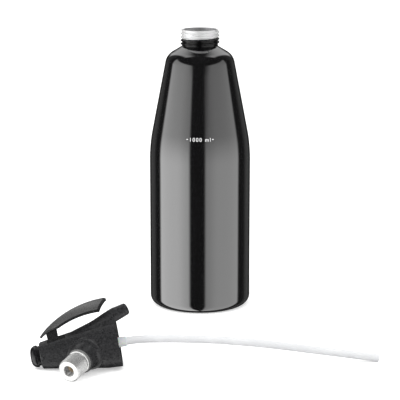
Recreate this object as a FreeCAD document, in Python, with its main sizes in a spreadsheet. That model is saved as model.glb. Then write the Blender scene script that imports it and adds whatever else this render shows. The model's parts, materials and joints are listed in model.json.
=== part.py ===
import FreeCAD, Part
import Sketcher
import math
import os
import re

from FreeCAD import Placement, Rotation, Vector

# Soda siphon: a screw-top aluminium bottle that stands, and its valve head with dip tube lying beside it.
# Millimetres. The bottle stands on Z = 0 about the Z axis. The head is drawn upright about its own axis,
# with its mouth in the plane Z = 0 and its lever and spout on +X, and is then laid on the floor.

SIZES = {
    # Bottle shell
    "body_radius": 47.0,
    "bottle_wall": 1.2,
    "base_round": 8.5,
    "punt_radius": 33.0,
    "punt_floor": 20.0,
    "punt_height": 7.0,
    "punt_round": 5.0,
    "taper_start": 153.0,
    "taper_round": 150.0,
    "shoulder_radius": 30.9,
    "shoulder_height": 236.6,
    "shoulder_round": 7.5,
    "neck_radius": 16.6,
    "neck_rise": 8.6,
    "neck_length": 15.3,
    "neck_bore": 15.0,
    "neck_edge": 0.5,
    # Neck thread and the collar that screws on it
    "thread_depth": 1.35,
    "thread_pitch": 3.1,
    "thread_flat": 0.7,
    "thread_foot": 2.1,
    "thread_start": 3.6,
    "thread_length": 9.3,
    "thread_clearance": 0.15,
    "mouth_wall": 2.05,
    "collar_wall": 1.5,
    "collar_height": 12.0,
    "mouth_gap": 0.3,
    "gasket_height": 1.5,
    "gasket_width": 3.2,
    # Barrel of the head
    "barrel_radius": 11.0,
    "edge_break": 0.8,
    "fit_gap": 0.05,
    # Dip tube and the nut that holds it
    "tube_radius": 3.25,
    "tube_bore": 2.2,
    "tube_reach": 220.0,
    "tube_seat": 10.0,
    "tube_elbow": 120.0,
    "tube_bow": 110.0,
    "nut_radius": 7.5,
    "nut_height": 4.0,
    "nut_thread_radius": 6.0,
    "nut_thread": 3.0,
    "sleeve_wall": 0.9,
    "sleeve_reach": 6.0,
    # Valve seat, stem and guide
    "seat_gasket": 0.8,
    "seat_height": 3.2,
    "seat_bore": 1.9,
    "lip_width": 0.7,
    "lip_height": 0.3,
    "seat_gap": 0.1,
    "washer_radius": 3.4,
    "washer_height": 1.5,
    "washer_bore": 1.0,
    "foot_radius": 3.6,
    "foot_height": 1.6,
    "stem_radius": 2.0,
    "chamber_radius": 4.8,
    "chamber_height": 12.5,
    "guide_height": 6.0,
    "guide_ring_height": 2.0,
    "guide_ring_depth": 1.8,
    "guide_ring_section": 0.84,
    "partition": 4.0,
    "partition_bore": 2.6,
    "works_radius": 5.0,
    "works_height": 14.0,
    "flange_radius": 4.4,
    "flange_height": 1.4,
    "peg_radius": 2.2,
    "peg_height": 4.0,
    "coil_radius": 3.5,
    "wire_radius": 0.45,
    "coil_turns": 5.0,
    # Top cap
    "cap_thread": 6.0,
    "cap_thread_radius": 7.0,
    "cap_bore": 4.9,
    "cap_groove_radius": 8.2,
    "cap_groove_height": 2.4,
    "cap_radius": 9.15,
    "cap_height": 6.0,
    "cap_crown": 4.0,
    "cap_round": 5.0,
    "cap_ring_section": 0.55,
    "cap_ring_depth": 3.0,
    # Lever, its pivot and the toe that lifts the stem
    "pivot_offset": 8.5,
    "pivot_height": 8.5,
    "pin_radius": 1.25,
    "pin_reach": 9.0,
    "pin_gap": 0.03,
    "lever_gap": 0.06,
    "toe_radius": 1.2,
    "toe_gap": 0.3,
    "toe_slot": 2.35,
    "post_width": 7.3,
    "hub_radius": 3.1,
    "post_tail": 3.7,
    "post_lead": 5.3,
    "slot_gap": 0.35,
    "slot_floor": 4.5,
    "slot_lead": 11.3,
    "slot_tail": 4.3,
    "blade_arc": 81.2,
    "blade_thickness": 1.8,
    "blade_width": 22.0,
    "blade_drop": 6.2,
    "blade_centre_back": 40.2,
    "blade_centre_drop": 48.4,
    "blade_tail": 9.5,
    "blade_reach": 51.0,
    "blade_chevron": 7.2,
    "blade_tail_width": 2.4,
    "blade_waist": 17.6,
    "blade_waist_height": 4.5,
    # Spout
    "spout_offset": 25.3,
    "spout_angle": 19.0,
    "spout_length": 12.2,
    "spout_root_radius": 5.8,
    "spout_tip_radius": 4.9,
    "spout_tip_round": 1.8,
    "spout_bore": 2.6,
    "spigot_radius": 4.2,
    "spigot_length": 7.0,
    "spout_ring_section": 0.4,
    "spout_ring_depth": 4.5,
    "channel_radius": 1.6,
    "channel_height": 30.5,
    "ridge_radius": 4.0,
    "ridge_length": 46.0,
    "hood_radius": 6.6,
    "hood_length": 24.0,
    # Charger port
    "port_height": 20.0,
    "port_angle": 30.0,
    "boss_radius": 11.3,
    "boss_length": 27.0,
    "boss_bore": 7.4,
    "boss_floor": 13.5,
    "port_washer_radius": 10.4,
    "port_washer_height": 1.2,
    "port_radius": 9.6,
    "port_length": 17.8,
    "port_edge": 1.0,
    "port_thread_radius": 7.3,
    "port_thread": 5.0,
    "port_stem_radius": 5.3,
    "port_stem": 8.0,
    "port_ring_section": 0.5,
    "socket_radius": 4.4,
    "socket_depth": 15.0,
    "gas_bore": 1.2,
    "gas_stop": 1.5,
    "gas_outlet": 0.7,
    "gas_outlet_height": 4.5,
    "gas_duct": 1.0,
    "gas_duct_offset": 11.5,
    "sleeve_valve_wall": 1.1,
    "sleeve_valve_length": 6.5,
    "filter_height": 1.2,
    "holder_height": 5.5,
    "holder_vent": 0.6,
    "holder_vent_offset": 2.6,
    "charger_seal_height": 1.8,
    "charger_seal_bore": 2.2,
    "needle_radius": 0.8,
    "needle_point": 1.6,
    "needle_reach": 3.3,
    # Where the bottle stands and the head lies, about the middle of the floor that they cover
    "bottle_x": -4.88,
    "bottle_y": 100.78,
    "head_x": -72.28,
    "head_y": -101.82,
    "head_turn": 3.5,
}

# Heights of the bottle
NECK_BASE = "(shoulder_height + neck_rise)"
NECK_TOP = f"({NECK_BASE} + neck_length)"

# Heights along the head's axis, from the mouth up
ROOF = "(neck_length - mouth_gap + gasket_height)"
CAVITY = "(neck_radius + thread_depth + thread_clearance)"
MOUTH = f"({CAVITY} + mouth_wall)"
COLLAR = f"({CAVITY} + collar_wall)"
SEAT_BOTTOM = f"({ROOF} + nut_thread + seat_gasket)"
SEAT_TOP = f"({SEAT_BOTTOM} + seat_height)"
WASHER_BOTTOM = f"({SEAT_TOP} + lip_height + seat_gap)"
FOOT_BOTTOM = f"({WASHER_BOTTOM} + washer_height)"
GUIDE_BOTTOM = f"({SEAT_TOP} + chamber_height)"
GUIDE_TOP = f"({GUIDE_BOTTOM} + guide_height)"
WORKS_BOTTOM = f"({GUIDE_TOP} + partition)"
PIVOT = f"({WORKS_BOTTOM} + pivot_height)"
FLANGE_BOTTOM = f"({PIVOT} + toe_radius + toe_gap)"
FLANGE_TOP = f"({FLANGE_BOTTOM} + flange_height)"
CAP_BOTTOM = f"({WORKS_BOTTOM} + works_height)"
BARREL_TOP = f"({CAP_BOTTOM} + cap_thread)"
DOME_BOTTOM = f"({BARREL_TOP} + cap_groove_height)"
SPRING_TOP = f"({DOME_BOTTOM} + cap_height - cap_crown)"

# Distances along the charger port's axis, from the head's axis out
STUB_BOTTOM = "(boss_length + port_washer_height)"
STUB_TOP = f"({STUB_BOTTOM} + port_length)"
SOCKET_FLOOR = f"({STUB_TOP} - socket_depth)"
HOLDER_BOTTOM = f"({SOCKET_FLOOR} + filter_height)"
HOLDER_TOP = f"({HOLDER_BOTTOM} + holder_height)"
PORT_STEM_TOP = f"({STUB_BOTTOM} - port_thread)"
PORT_STEM_BOTTOM = f"({PORT_STEM_TOP} - port_stem)"

HOLDER_VENTS = 3

doc = FreeCAD.newDocument("SodaSiphon")
sheet = doc.addObject("Spreadsheet::Sheet", "Sizes")
for row, (alias, number) in enumerate(SIZES.items(), start=1):
    sheet.set(f"A{row}", alias)
    sheet.set(f"B{row}", str(number))
    sheet.setAlias(f"B{row}", alias)
doc.recompute()


def cells(formula):
    """The formula with each size written as a reference to its cell."""
    return re.sub(r"[a-z_]{3,}", lambda word: "Sizes." + word[0] if word[0] in SIZES else word[0], str(formula))


def value(formula):
    """The formula's value now."""
    return float(sheet.evalExpression(cells(formula)))


def bind(thing, prop, formula):
    """Set a property from a formula of cells, and keep it bound."""
    thing.setExpression(prop, cells(formula))


def origin_plane(body, role):
    return next(plane for plane in body.Origin.OriginFeatures if plane.Role == role)


def new_sketch(body, name, role):
    sketch = body.newObject("Sketcher::SketchObject", name)
    sketch.AttachmentSupport = (origin_plane(body, role), "")
    sketch.MapMode = "FlatFace"
    return sketch


def pin_down(sketch, geometry, position, across, up):
    """Hold one point of the sketch at two formulas from its origin."""
    for kind, formula in (("DistanceX", across), ("DistanceY", up)):
        constraint = Sketcher.Constraint(kind, -1, 1, geometry, position, value(formula))
        index = sketch.addConstraint(constraint)
        bind(sketch, f"Constraints[{index}]", formula)


def draw_outline(sketch, corners):
    """Closed outline through corners (across, up) or (across, up, radius), rounded where a radius is given."""
    points = [Vector(value(corner[0]), value(corner[1]), 0) for corner in corners]
    count = len(corners)
    entry, leave, arcs = list(points), list(points), {}
    for index, corner in enumerate(corners):
        if len(corner) < 3:
            continue
        point, radius = points[index], value(corner[2])
        back = (points[index - 1] - point).normalize()
        ahead = (points[(index + 1) % count] - point).normalize()
        half = back.getAngle(ahead) / 2
        entry[index] = point + back * (radius / math.tan(half))
        leave[index] = point + ahead * (radius / math.tan(half))
        centre = point + (back + ahead).normalize() * (radius / math.sin(half))
        left_turn = back.cross(ahead).z < 0
        first, last = (entry[index], leave[index]) if left_turn else (leave[index], entry[index])
        angles = [math.atan2(end.y - centre.y, end.x - centre.x) for end in (first, last)]
        if angles[1] < angles[0]:
            angles[1] += 2 * math.pi
        arcs[index] = (Part.ArcOfCircle(Part.Circle(centre, Vector(0, 0, 1), radius), *angles), left_turn)
    lines = [sketch.addGeometry(Part.LineSegment(leave[index], entry[(index + 1) % count]))
             for index in range(count)]
    for index, corner in enumerate(corners):
        before, after = lines[index - 1], lines[index]
        if index not in arcs:
            sketch.addConstraint(Sketcher.Constraint("Coincident", before, 2, after, 1))
            pin_down(sketch, after, 1, corner[0], corner[1])
            continue
        arc, left_turn = arcs[index]
        start, end = (1, 2) if left_turn else (2, 1)
        arc_id = sketch.addGeometry(arc)
        mark = sketch.addGeometry(Part.Point(points[index]), True)
        sketch.addConstraint(Sketcher.Constraint("Tangent", before, 2, arc_id, start))
        sketch.addConstraint(Sketcher.Constraint("Tangent", arc_id, end, after, 1))
        sketch.addConstraint(Sketcher.Constraint("PointOnObject", mark, 1, before))
        sketch.addConstraint(Sketcher.Constraint("PointOnObject", mark, 1, after))
        pin_down(sketch, mark, 1, corner[0], corner[1])
        radius_id = sketch.addConstraint(Sketcher.Constraint("Radius", arc_id, value(corner[2])))
        bind(sketch, f"Constraints[{radius_id}]", corner[2])
    return sketch


def turned(name, corners):
    """Body turned about the Z axis from an outline of (radius, height) corners."""
    body = doc.addObject("PartDesign::Body", name)
    sketch = draw_outline(new_sketch(body, name + "_profile", "XZ_Plane"), corners)
    turn = body.newObject("PartDesign::Revolution", name + "_turn")
    turn.Profile = sketch
    turn.ReferenceAxis = (sketch, ["V_Axis"])
    turn.Angle = 360
    doc.recompute()
    return body


def padded(name, role, corners, length):
    """Body padded to both sides of an origin plane from an outline."""
    body = doc.addObject("PartDesign::Body", name)
    sketch = draw_outline(new_sketch(body, name + "_profile", role), corners)
    pad = body.newObject("PartDesign::Pad", name + "_pad")
    pad.Profile = sketch
    pad.Midplane = True
    bind(pad, "Length", length)
    doc.recompute()
    return body


def coiled(body, name, corners, pitch, height):
    """Ridge or wire of the given section, wound about the Z axis of a body."""
    sketch = draw_outline(new_sketch(body, name + "_section", "XZ_Plane"), corners)
    helix = body.newObject("PartDesign::AdditiveHelix", name + "_helix")
    helix.Profile = sketch
    helix.ReferenceAxis = (sketch, ["V_Axis"])
    helix.Mode = 0
    bind(helix, "Pitch", pitch)
    bind(helix, "Height", height)
    doc.recompute()
    return helix


def cylinder(name, radius, bottom, top, place=None):
    """Cylinder from bottom to top along the Z axis of a place."""
    rod = doc.addObject("Part::Cylinder", name)
    bind(rod, "Radius", radius)
    bind(rod, "Height", f"({top}) - ({bottom})")
    rod.Placement = (place or Placement()) * Placement(Vector(0, 0, value(bottom)), Rotation())
    return rod


def cone(name, radius_bottom, radius_top, bottom, top, place=None):
    """Cone from bottom to top along the Z axis of a place."""
    frustum = doc.addObject("Part::Cone", name)
    bind(frustum, "Radius1", radius_bottom)
    bind(frustum, "Radius2", radius_top)
    bind(frustum, "Height", f"({top}) - ({bottom})")
    frustum.Placement = (place or Placement()) * Placement(Vector(0, 0, value(bottom)), Rotation())
    return frustum


def block(name, low, high):
    """Box between two corners, each given as three formulas."""
    box = doc.addObject("Part::Box", name)
    for prop, start, end in zip(("Length", "Width", "Height"), low, high):
        bind(box, prop, f"({end}) - ({start})")
    box.Placement.Base = Vector(*[value(start) for start in low])
    return box


def ring(name, centre_radius, section, height, place=None):
    """Round sealing ring about the Z axis of a place."""
    torus = doc.addObject("Part::Torus", name)
    bind(torus, "Radius1", centre_radius)
    bind(torus, "Radius2", section)
    torus.Placement = (place or Placement()) * Placement(Vector(0, 0, value(height)), Rotation())
    return torus


def joined(name, *things):
    """All the things as one solid."""
    if len(things) == 2:
        fuse = doc.addObject("Part::Fuse", name)
        fuse.Base, fuse.Tool = things
        return fuse
    fuse = doc.addObject("Part::MultiFuse", name)
    fuse.Shapes = list(things)
    return fuse


def cut(name, base, *tools):
    """Base less the tools."""
    result = doc.addObject("Part::Cut", name)
    result.Base = base
    result.Tool = tools[0] if len(tools) == 1 else joined(name + "_tools", *tools)
    return result


PIECES = []


def piece(name, thing, place=None):
    """Record a finished piece under its own name, in its place."""
    thing.Label = name
    thing.Placement = (place or Placement()) * thing.Placement
    PIECES.append(thing)
    return thing


# Placements: the port's axis, the spout's axis, and the head as it lies
PORT = Placement(Vector(0, 0, value("port_height")), Rotation(Vector(1, 0, 0), 90 - value("port_angle")))
SPOUT = Placement(Vector(value("spout_offset"), 0, 0), Rotation(Vector(0, 1, 0), 180 - value("spout_angle")))


def resting_head():
    """The cone of the barrel lies along the floor, and the head is rolled until the port's end touches too."""
    tilt = math.atan2(value(f"{COLLAR} - barrel_radius"), value(f"{BARREL_TOP} - collar_height"))
    height = value("collar_height") * math.sin(tilt) + value(COLLAR) * math.cos(tilt)
    root = height - value("port_height") * math.sin(tilt)
    reach, radius = value(STUB_TOP), value("port_radius")
    drop = math.asin(root / math.hypot(reach, radius)) - math.atan2(radius, reach)
    lean = math.radians(value("port_angle"))
    turn = (math.sin(lean) * math.sin(tilt) - math.sin(drop)) / (math.cos(lean) * math.cos(tilt))
    aim = Rotation(Vector(0, 0, 1), value("head_turn"))
    laid = aim * Rotation(Vector(0, 1, 0), -90 - math.degrees(tilt))
    rolled = laid * Rotation(Vector(0, 0, 1), math.degrees(math.asin(turn)))
    base = Vector(value("head_x"), value("head_y"), height)
    return Placement(base, rolled), Placement(base, laid), tilt, height


HEAD, TUBE, HEAD_TILT, HEAD_HEIGHT = resting_head()


def pivot_place():
    """The lever's pivot, with Z across the head."""
    return Placement(Vector(value("pivot_offset"), 0, value(PIVOT)), Rotation(Vector(1, 0, 0), 90))


# Bottle: a drawn shell with a raised base, a long taper, a rolled shoulder and a threaded neck
def make_bottle():
    outside = [
        (0, "punt_height"),
        ("punt_floor", "punt_height", "punt_round"),
        ("punt_radius", 0, "bottle_wall"),
        ("body_radius", 0, "base_round"),
        ("body_radius", "taper_start", "taper_round"),
        ("shoulder_radius", "shoulder_height", "shoulder_round"),
        ("neck_radius", NECK_BASE, "bottle_wall"),
        ("neck_radius", NECK_TOP, "neck_edge"),
        ("neck_bore", NECK_TOP, "neck_edge"),
    ]
    inside = [
        ("neck_bore", f"{NECK_BASE} - bottle_wall / 3", "2 * bottle_wall"),
        ("shoulder_radius - bottle_wall", "shoulder_height - bottle_wall / 2", "shoulder_round - bottle_wall"),
        ("body_radius - bottle_wall", "taper_start", "taper_round - bottle_wall"),
        ("body_radius - bottle_wall", "bottle_wall", "base_round - bottle_wall"),
        ("punt_radius + bottle_wall / 2", "bottle_wall", "2 * bottle_wall"),
        ("punt_floor + bottle_wall / 2", "punt_height + bottle_wall", "punt_round - bottle_wall"),
        (0, "punt_height + bottle_wall"),
    ]
    bottle = turned("bottle", outside + inside)
    middle = f"({NECK_BASE} + thread_start)"
    root = "neck_radius - neck_edge"
    coiled(bottle, "neck_thread", [
        (root, f"{middle} - thread_foot / 2"),
        ("neck_radius + thread_depth", f"{middle} - thread_flat / 2"),
        ("neck_radius + thread_depth", f"{middle} + thread_flat / 2"),
        (root, f"{middle} + thread_foot / 2"),
    ], "thread_pitch", "thread_length")
    piece("bottle", bottle, Placement(Vector(value("bottle_x"), value("bottle_y"), 0), Rotation()))


# Head body: collar, barrel, ridge, hood and boss in one moulding, bored for the works
def make_head_body():
    barrel = turned("barrel", [
        (0, 0),
        (MOUTH, 0),
        (COLLAR, "collar_height"),
        ("barrel_radius", f"{BARREL_TOP} - edge_break"),
        ("barrel_radius - edge_break", BARREL_TOP),
        (0, BARREL_TOP),
    ])
    ridge = cylinder("ridge", "ridge_radius", "-ridge_length", "-hood_length + 2 * edge_break", SPOUT)
    hood = cone("hood", "ridge_radius", "hood_radius", "-hood_length", "hood_radius", SPOUT)
    below = block("below_mouth", (0, "-boss_length", "-boss_length"), ("3 * boss_length", "boss_length", 0))
    boss = cylinder("boss", "boss_radius", 0, "boss_length", PORT)
    outside = cut("head_outside", joined("head_lump", barrel, ridge, hood, boss), below)

    bores = turned("head_bores", [
        (0, "-edge_break"),
        (CAVITY, "-edge_break"),
        (CAVITY, ROOF),
        ("nut_thread_radius", ROOF),
        ("nut_thread_radius", SEAT_TOP),
        ("chamber_radius", SEAT_TOP),
        ("chamber_radius", GUIDE_TOP),
        ("partition_bore", GUIDE_TOP),
        ("partition_bore", WORKS_BOTTOM),
        ("works_radius", WORKS_BOTTOM),
        ("works_radius", CAP_BOTTOM),
        ("cap_thread_radius + fit_gap", CAP_BOTTOM),
        ("cap_thread_radius + fit_gap", f"{BARREL_TOP} + edge_break"),
        (0, f"{BARREL_TOP} + edge_break"),
    ])
    boss_bore = cylinder("boss_bore", "boss_bore", "boss_floor", "boss_length + edge_break", PORT)
    duct_place = Placement(Vector(0, -value("gas_duct_offset"), 0), Rotation())
    duct_top = "port_height + boss_floor / cos(port_angle * 1 deg)"
    duct = cylinder("gas_duct", "gas_duct", f"{ROOF} - edge_break", duct_top, duct_place)
    spigot_bore = cylinder("spigot_bore", "spigot_radius + fit_gap", "-spigot_length", "hood_radius", SPOUT)
    channel_end = "-channel_height / cos(spout_angle * 1 deg)"
    channel = cylinder("channel", "channel_radius", channel_end, "0", SPOUT)
    across = Placement(Vector(0, 0, value("channel_height")), Rotation(Vector(0, 1, 0), 90))
    meeting = "spout_offset - channel_height * tan(spout_angle * 1 deg)"
    drilling = cylinder("cross_channel", "channel_radius", "0", meeting, across)
    half_slot = "(post_width / 2 + slot_gap)"
    slot = block("lever_slot",
                 ("slot_floor", f"-{half_slot}", f"{PIVOT} - slot_lead"),
                 ("3 * barrel_radius", half_slot, f"{PIVOT} + slot_tail"))
    pin_bore = cylinder("pin_bore", "pin_radius + pin_gap", "-2 * barrel_radius", "2 * barrel_radius", pivot_place())
    toe_pocket = block("toe_pocket", ("0", f"-{half_slot}", WORKS_BOTTOM),
                       ("slot_floor + edge_break", half_slot, f"{PIVOT} + slot_tail"))
    bored = cut("head_bored", outside, bores, boss_bore, duct, spigot_bore, channel, drilling,
                slot, toe_pocket, pin_bore)

    thread = doc.addObject("PartDesign::Body", "collar_thread")
    middle = "thread_start - mouth_gap"
    root = f"({CAVITY} + edge_break / 2)"
    crest = "(neck_radius + thread_clearance * 2)"
    coiled(thread, "collar_thread", [
        (root, f"{middle} - thread_foot / 2"),
        (root, f"{middle} + thread_foot / 2"),
        (crest, f"{middle} + thread_flat / 2"),
        (crest, f"{middle} - thread_flat / 2"),
    ], "thread_pitch", "thread_length - gasket_height")
    piece("head_body", joined("head_body", bored, thread), HEAD)


# Seal under the roof of the collar, against the neck's rim
def make_neck_gasket():
    outer = f"({CAVITY} - thread_clearance)"
    piece("neck_gasket", turned("neck_gasket", [
        (f"{outer} - gasket_width", f"{ROOF} - gasket_height"),
        (outer, f"{ROOF} - gasket_height"),
        (outer, ROOF),
        (f"{outer} - gasket_width", ROOF),
    ]), HEAD)


# Nut under the roof, with the sleeve that grips the dip tube
def make_tube_nut():
    sleeve = "(tube_radius + fit_gap + sleeve_wall)"
    nut = turned("tube_nut", [
        ("tube_radius + fit_gap", "-sleeve_reach"),
        (sleeve, "-sleeve_reach"),
        (sleeve, f"{ROOF} - nut_height"),
        ("nut_radius", f"{ROOF} - nut_height"),
        ("nut_radius", ROOF),
        ("nut_thread_radius - fit_gap", ROOF),
        ("nut_thread_radius - fit_gap", f"{ROOF} + nut_thread"),
        ("tube_bore", f"{ROOF} + nut_thread"),
        ("tube_bore", "tube_seat"),
        ("tube_radius + fit_gap", "tube_seat"),
    ])
    piece("tube_nut", nut, HEAD)


# Dip tube: a stiff plastic pipe with a set bend, whose far end lies on the floor
def make_dip_tube():
    straight = value("tube_seat + sleeve_reach")
    elbow_radius, bow = value("tube_elbow"), value("tube_bow")
    crest_height = HEAD_HEIGHT + value("sleeve_reach") * math.sin(HEAD_TILT)
    crest_height += elbow_radius * (1 - math.cos(HEAD_TILT))
    run = value("tube_reach - sleeve_reach") - elbow_radius * HEAD_TILT - bow
    droop = (crest_height - value("tube_radius")) / (bow / 2 + run)

    body = doc.addObject("PartDesign::Body", "dip_tube")
    path = new_sketch(body, "dip_tube_path", "XZ_Plane")
    here, heading = Vector(0, 0, 0), Vector(0, -1, 0)
    end = here + heading * straight
    path.addGeometry(Part.LineSegment(here, end))
    for radius, turn in ((elbow_radius, HEAD_TILT), (bow / droop, droop)):
        here = end
        side = Vector(heading.y, -heading.x, 0)
        centre = here + side * radius
        spoke = centre - here
        spin = Rotation(Vector(0, 0, 1), -math.degrees(turn))
        half_spin = Rotation(Vector(0, 0, 1), -math.degrees(turn / 2))
        middle = centre - half_spin.multVec(spoke)
        end = centre - spin.multVec(spoke)
        path.addGeometry(Part.Arc(here, middle, end))
        heading = spin.multVec(heading)
    path.addGeometry(Part.LineSegment(end, end + heading * run))

    section = new_sketch(body, "dip_tube_section", "XY_Plane")
    for radius in ("tube_radius", "tube_bore"):
        circle = section.addGeometry(Part.Circle(Vector(0, 0, 0), Vector(0, 0, 1), value(radius)))
        section.addConstraint(Sketcher.Constraint("Coincident", circle, 3, -1, 1))
        index = section.addConstraint(Sketcher.Constraint("Radius", circle, value(radius)))
        bind(section, f"Constraints[{index}]", radius)
    pipe = body.newObject("PartDesign::AdditivePipe", "dip_tube_pipe")
    pipe.Profile = section
    pipe.Spine = path
    doc.recompute()
    body.Placement = Placement(Vector(0, 0, value("tube_seat")), Rotation())
    piece("dip_tube", body, TUBE)


# Valve seat with its raised lip, and the gasket under it
def make_valve_seat():
    piece("seat_gasket", turned("seat_gasket", [
        ("tube_bore", f"{ROOF} + nut_thread"),
        ("nut_thread_radius - fit_gap", f"{ROOF} + nut_thread"),
        ("nut_thread_radius - fit_gap", SEAT_BOTTOM),
        ("tube_bore", SEAT_BOTTOM),
    ]), HEAD)
    piece("valve_seat", turned("valve_seat", [
        ("seat_bore", SEAT_BOTTOM),
        ("nut_thread_radius - fit_gap", SEAT_BOTTOM),
        ("nut_thread_radius - fit_gap", SEAT_TOP),
        ("seat_bore + lip_width", SEAT_TOP),
        ("seat_bore + lip_width", f"{SEAT_TOP} + lip_height"),
        ("seat_bore", f"{SEAT_TOP} + lip_height"),
    ]), HEAD)


# Stem: foot with the washer, rod, flange that the lever's toe lifts, and peg inside the spring
def make_valve_stem():
    piece("valve_stem", turned("valve_stem", [
        (0, f"{WASHER_BOTTOM} + washer_height / 3"),
        ("washer_bore - fit_gap", f"{WASHER_BOTTOM} + washer_height / 3"),
        ("washer_bore - fit_gap", FOOT_BOTTOM),
        ("foot_radius", FOOT_BOTTOM),
        ("foot_radius", f"{FOOT_BOTTOM} + foot_height"),
        ("stem_radius", f"{FOOT_BOTTOM} + foot_height"),
        ("stem_radius", FLANGE_BOTTOM),
        ("flange_radius", FLANGE_BOTTOM),
        ("flange_radius", FLANGE_TOP),
        ("peg_radius", FLANGE_TOP),
        ("peg_radius", f"{FLANGE_TOP} + peg_height", "edge_break"),
        (0, f"{FLANGE_TOP} + peg_height"),
    ]), HEAD)
    piece("stem_washer", turned("stem_washer", [
        ("washer_bore", WASHER_BOTTOM),
        ("washer_radius", WASHER_BOTTOM),
        ("washer_radius", FOOT_BOTTOM),
        ("washer_bore", FOOT_BOTTOM),
    ]), HEAD)


# Guide bush that closes the valve chamber, with the seal round the stem
def make_stem_guide():
    bore = "(stem_radius + fit_gap)"
    middle = f"({GUIDE_BOTTOM} + guide_height / 2)"
    piece("stem_guide", turned("stem_guide", [
        (bore, GUIDE_BOTTOM),
        ("chamber_radius - fit_gap", GUIDE_BOTTOM),
        ("chamber_radius - fit_gap", GUIDE_TOP),
        (bore, GUIDE_TOP),
        (bore, f"{middle} + guide_ring_height / 2"),
        (f"{bore} + guide_ring_depth", f"{middle} + guide_ring_height / 2"),
        (f"{bore} + guide_ring_depth", f"{middle} - guide_ring_height / 2"),
        (bore, f"{middle} - guide_ring_height / 2"),
    ]), HEAD)
    piece("stem_seal", ring("stem_seal", f"{bore} + guide_ring_depth / 2 + fit_gap / 2",
                            "guide_ring_section", middle), HEAD)


# Spring between the stem's flange and the inside of the top cap
def make_valve_spring():
    body = doc.addObject("PartDesign::Body", "valve_spring")
    section = new_sketch(body, "valve_spring_section", "XZ_Plane")
    start = f"{FLANGE_TOP} + wire_radius"
    circle = section.addGeometry(Part.Circle(Vector(value("coil_radius"), value(start), 0),
                                             Vector(0, 0, 1), value("wire_radius")))
    pin_down(section, circle, 3, "coil_radius", start)
    index = section.addConstraint(Sketcher.Constraint("Radius", circle, value("wire_radius")))
    bind(section, f"Constraints[{index}]", "wire_radius")
    helix = body.newObject("PartDesign::AdditiveHelix", "valve_spring_helix")
    helix.Profile = section
    helix.ReferenceAxis = (section, ["V_Axis"])
    helix.Mode = 0
    length = f"({SPRING_TOP} - {FLANGE_TOP} - 2 * wire_radius)"
    bind(helix, "Height", length)
    bind(helix, "Pitch", f"{length} / coil_turns")
    piece("valve_spring", body, HEAD)


# Domed cap that closes the barrel and carries the spring, with its sealing ring
def make_top_cap():
    groove = "(cap_thread_radius - 2 * cap_ring_section)"
    ring_height = f"({BARREL_TOP} - cap_ring_depth)"
    piece("top_cap", turned("top_cap", [
        ("cap_bore", CAP_BOTTOM),
        ("cap_thread_radius", CAP_BOTTOM),
        ("cap_thread_radius", f"{ring_height} - cap_ring_section - fit_gap"),
        (f"{groove} - fit_gap", f"{ring_height} - cap_ring_section - fit_gap"),
        (f"{groove} - fit_gap", f"{ring_height} + cap_ring_section + fit_gap"),
        ("cap_thread_radius", f"{ring_height} + cap_ring_section + fit_gap"),
        ("cap_thread_radius", BARREL_TOP),
        ("cap_groove_radius", BARREL_TOP),
        ("cap_groove_radius", DOME_BOTTOM),
        ("cap_radius", DOME_BOTTOM),
        ("cap_radius", f"{DOME_BOTTOM} + cap_height", "cap_round"),
        (0, f"{DOME_BOTTOM} + cap_height"),
        (0, SPRING_TOP),
        ("cap_bore", SPRING_TOP),
    ]), HEAD)
    piece("cap_ring", ring("cap_ring", "cap_thread_radius - cap_ring_section", "cap_ring_section",
                           ring_height), HEAD)


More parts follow.
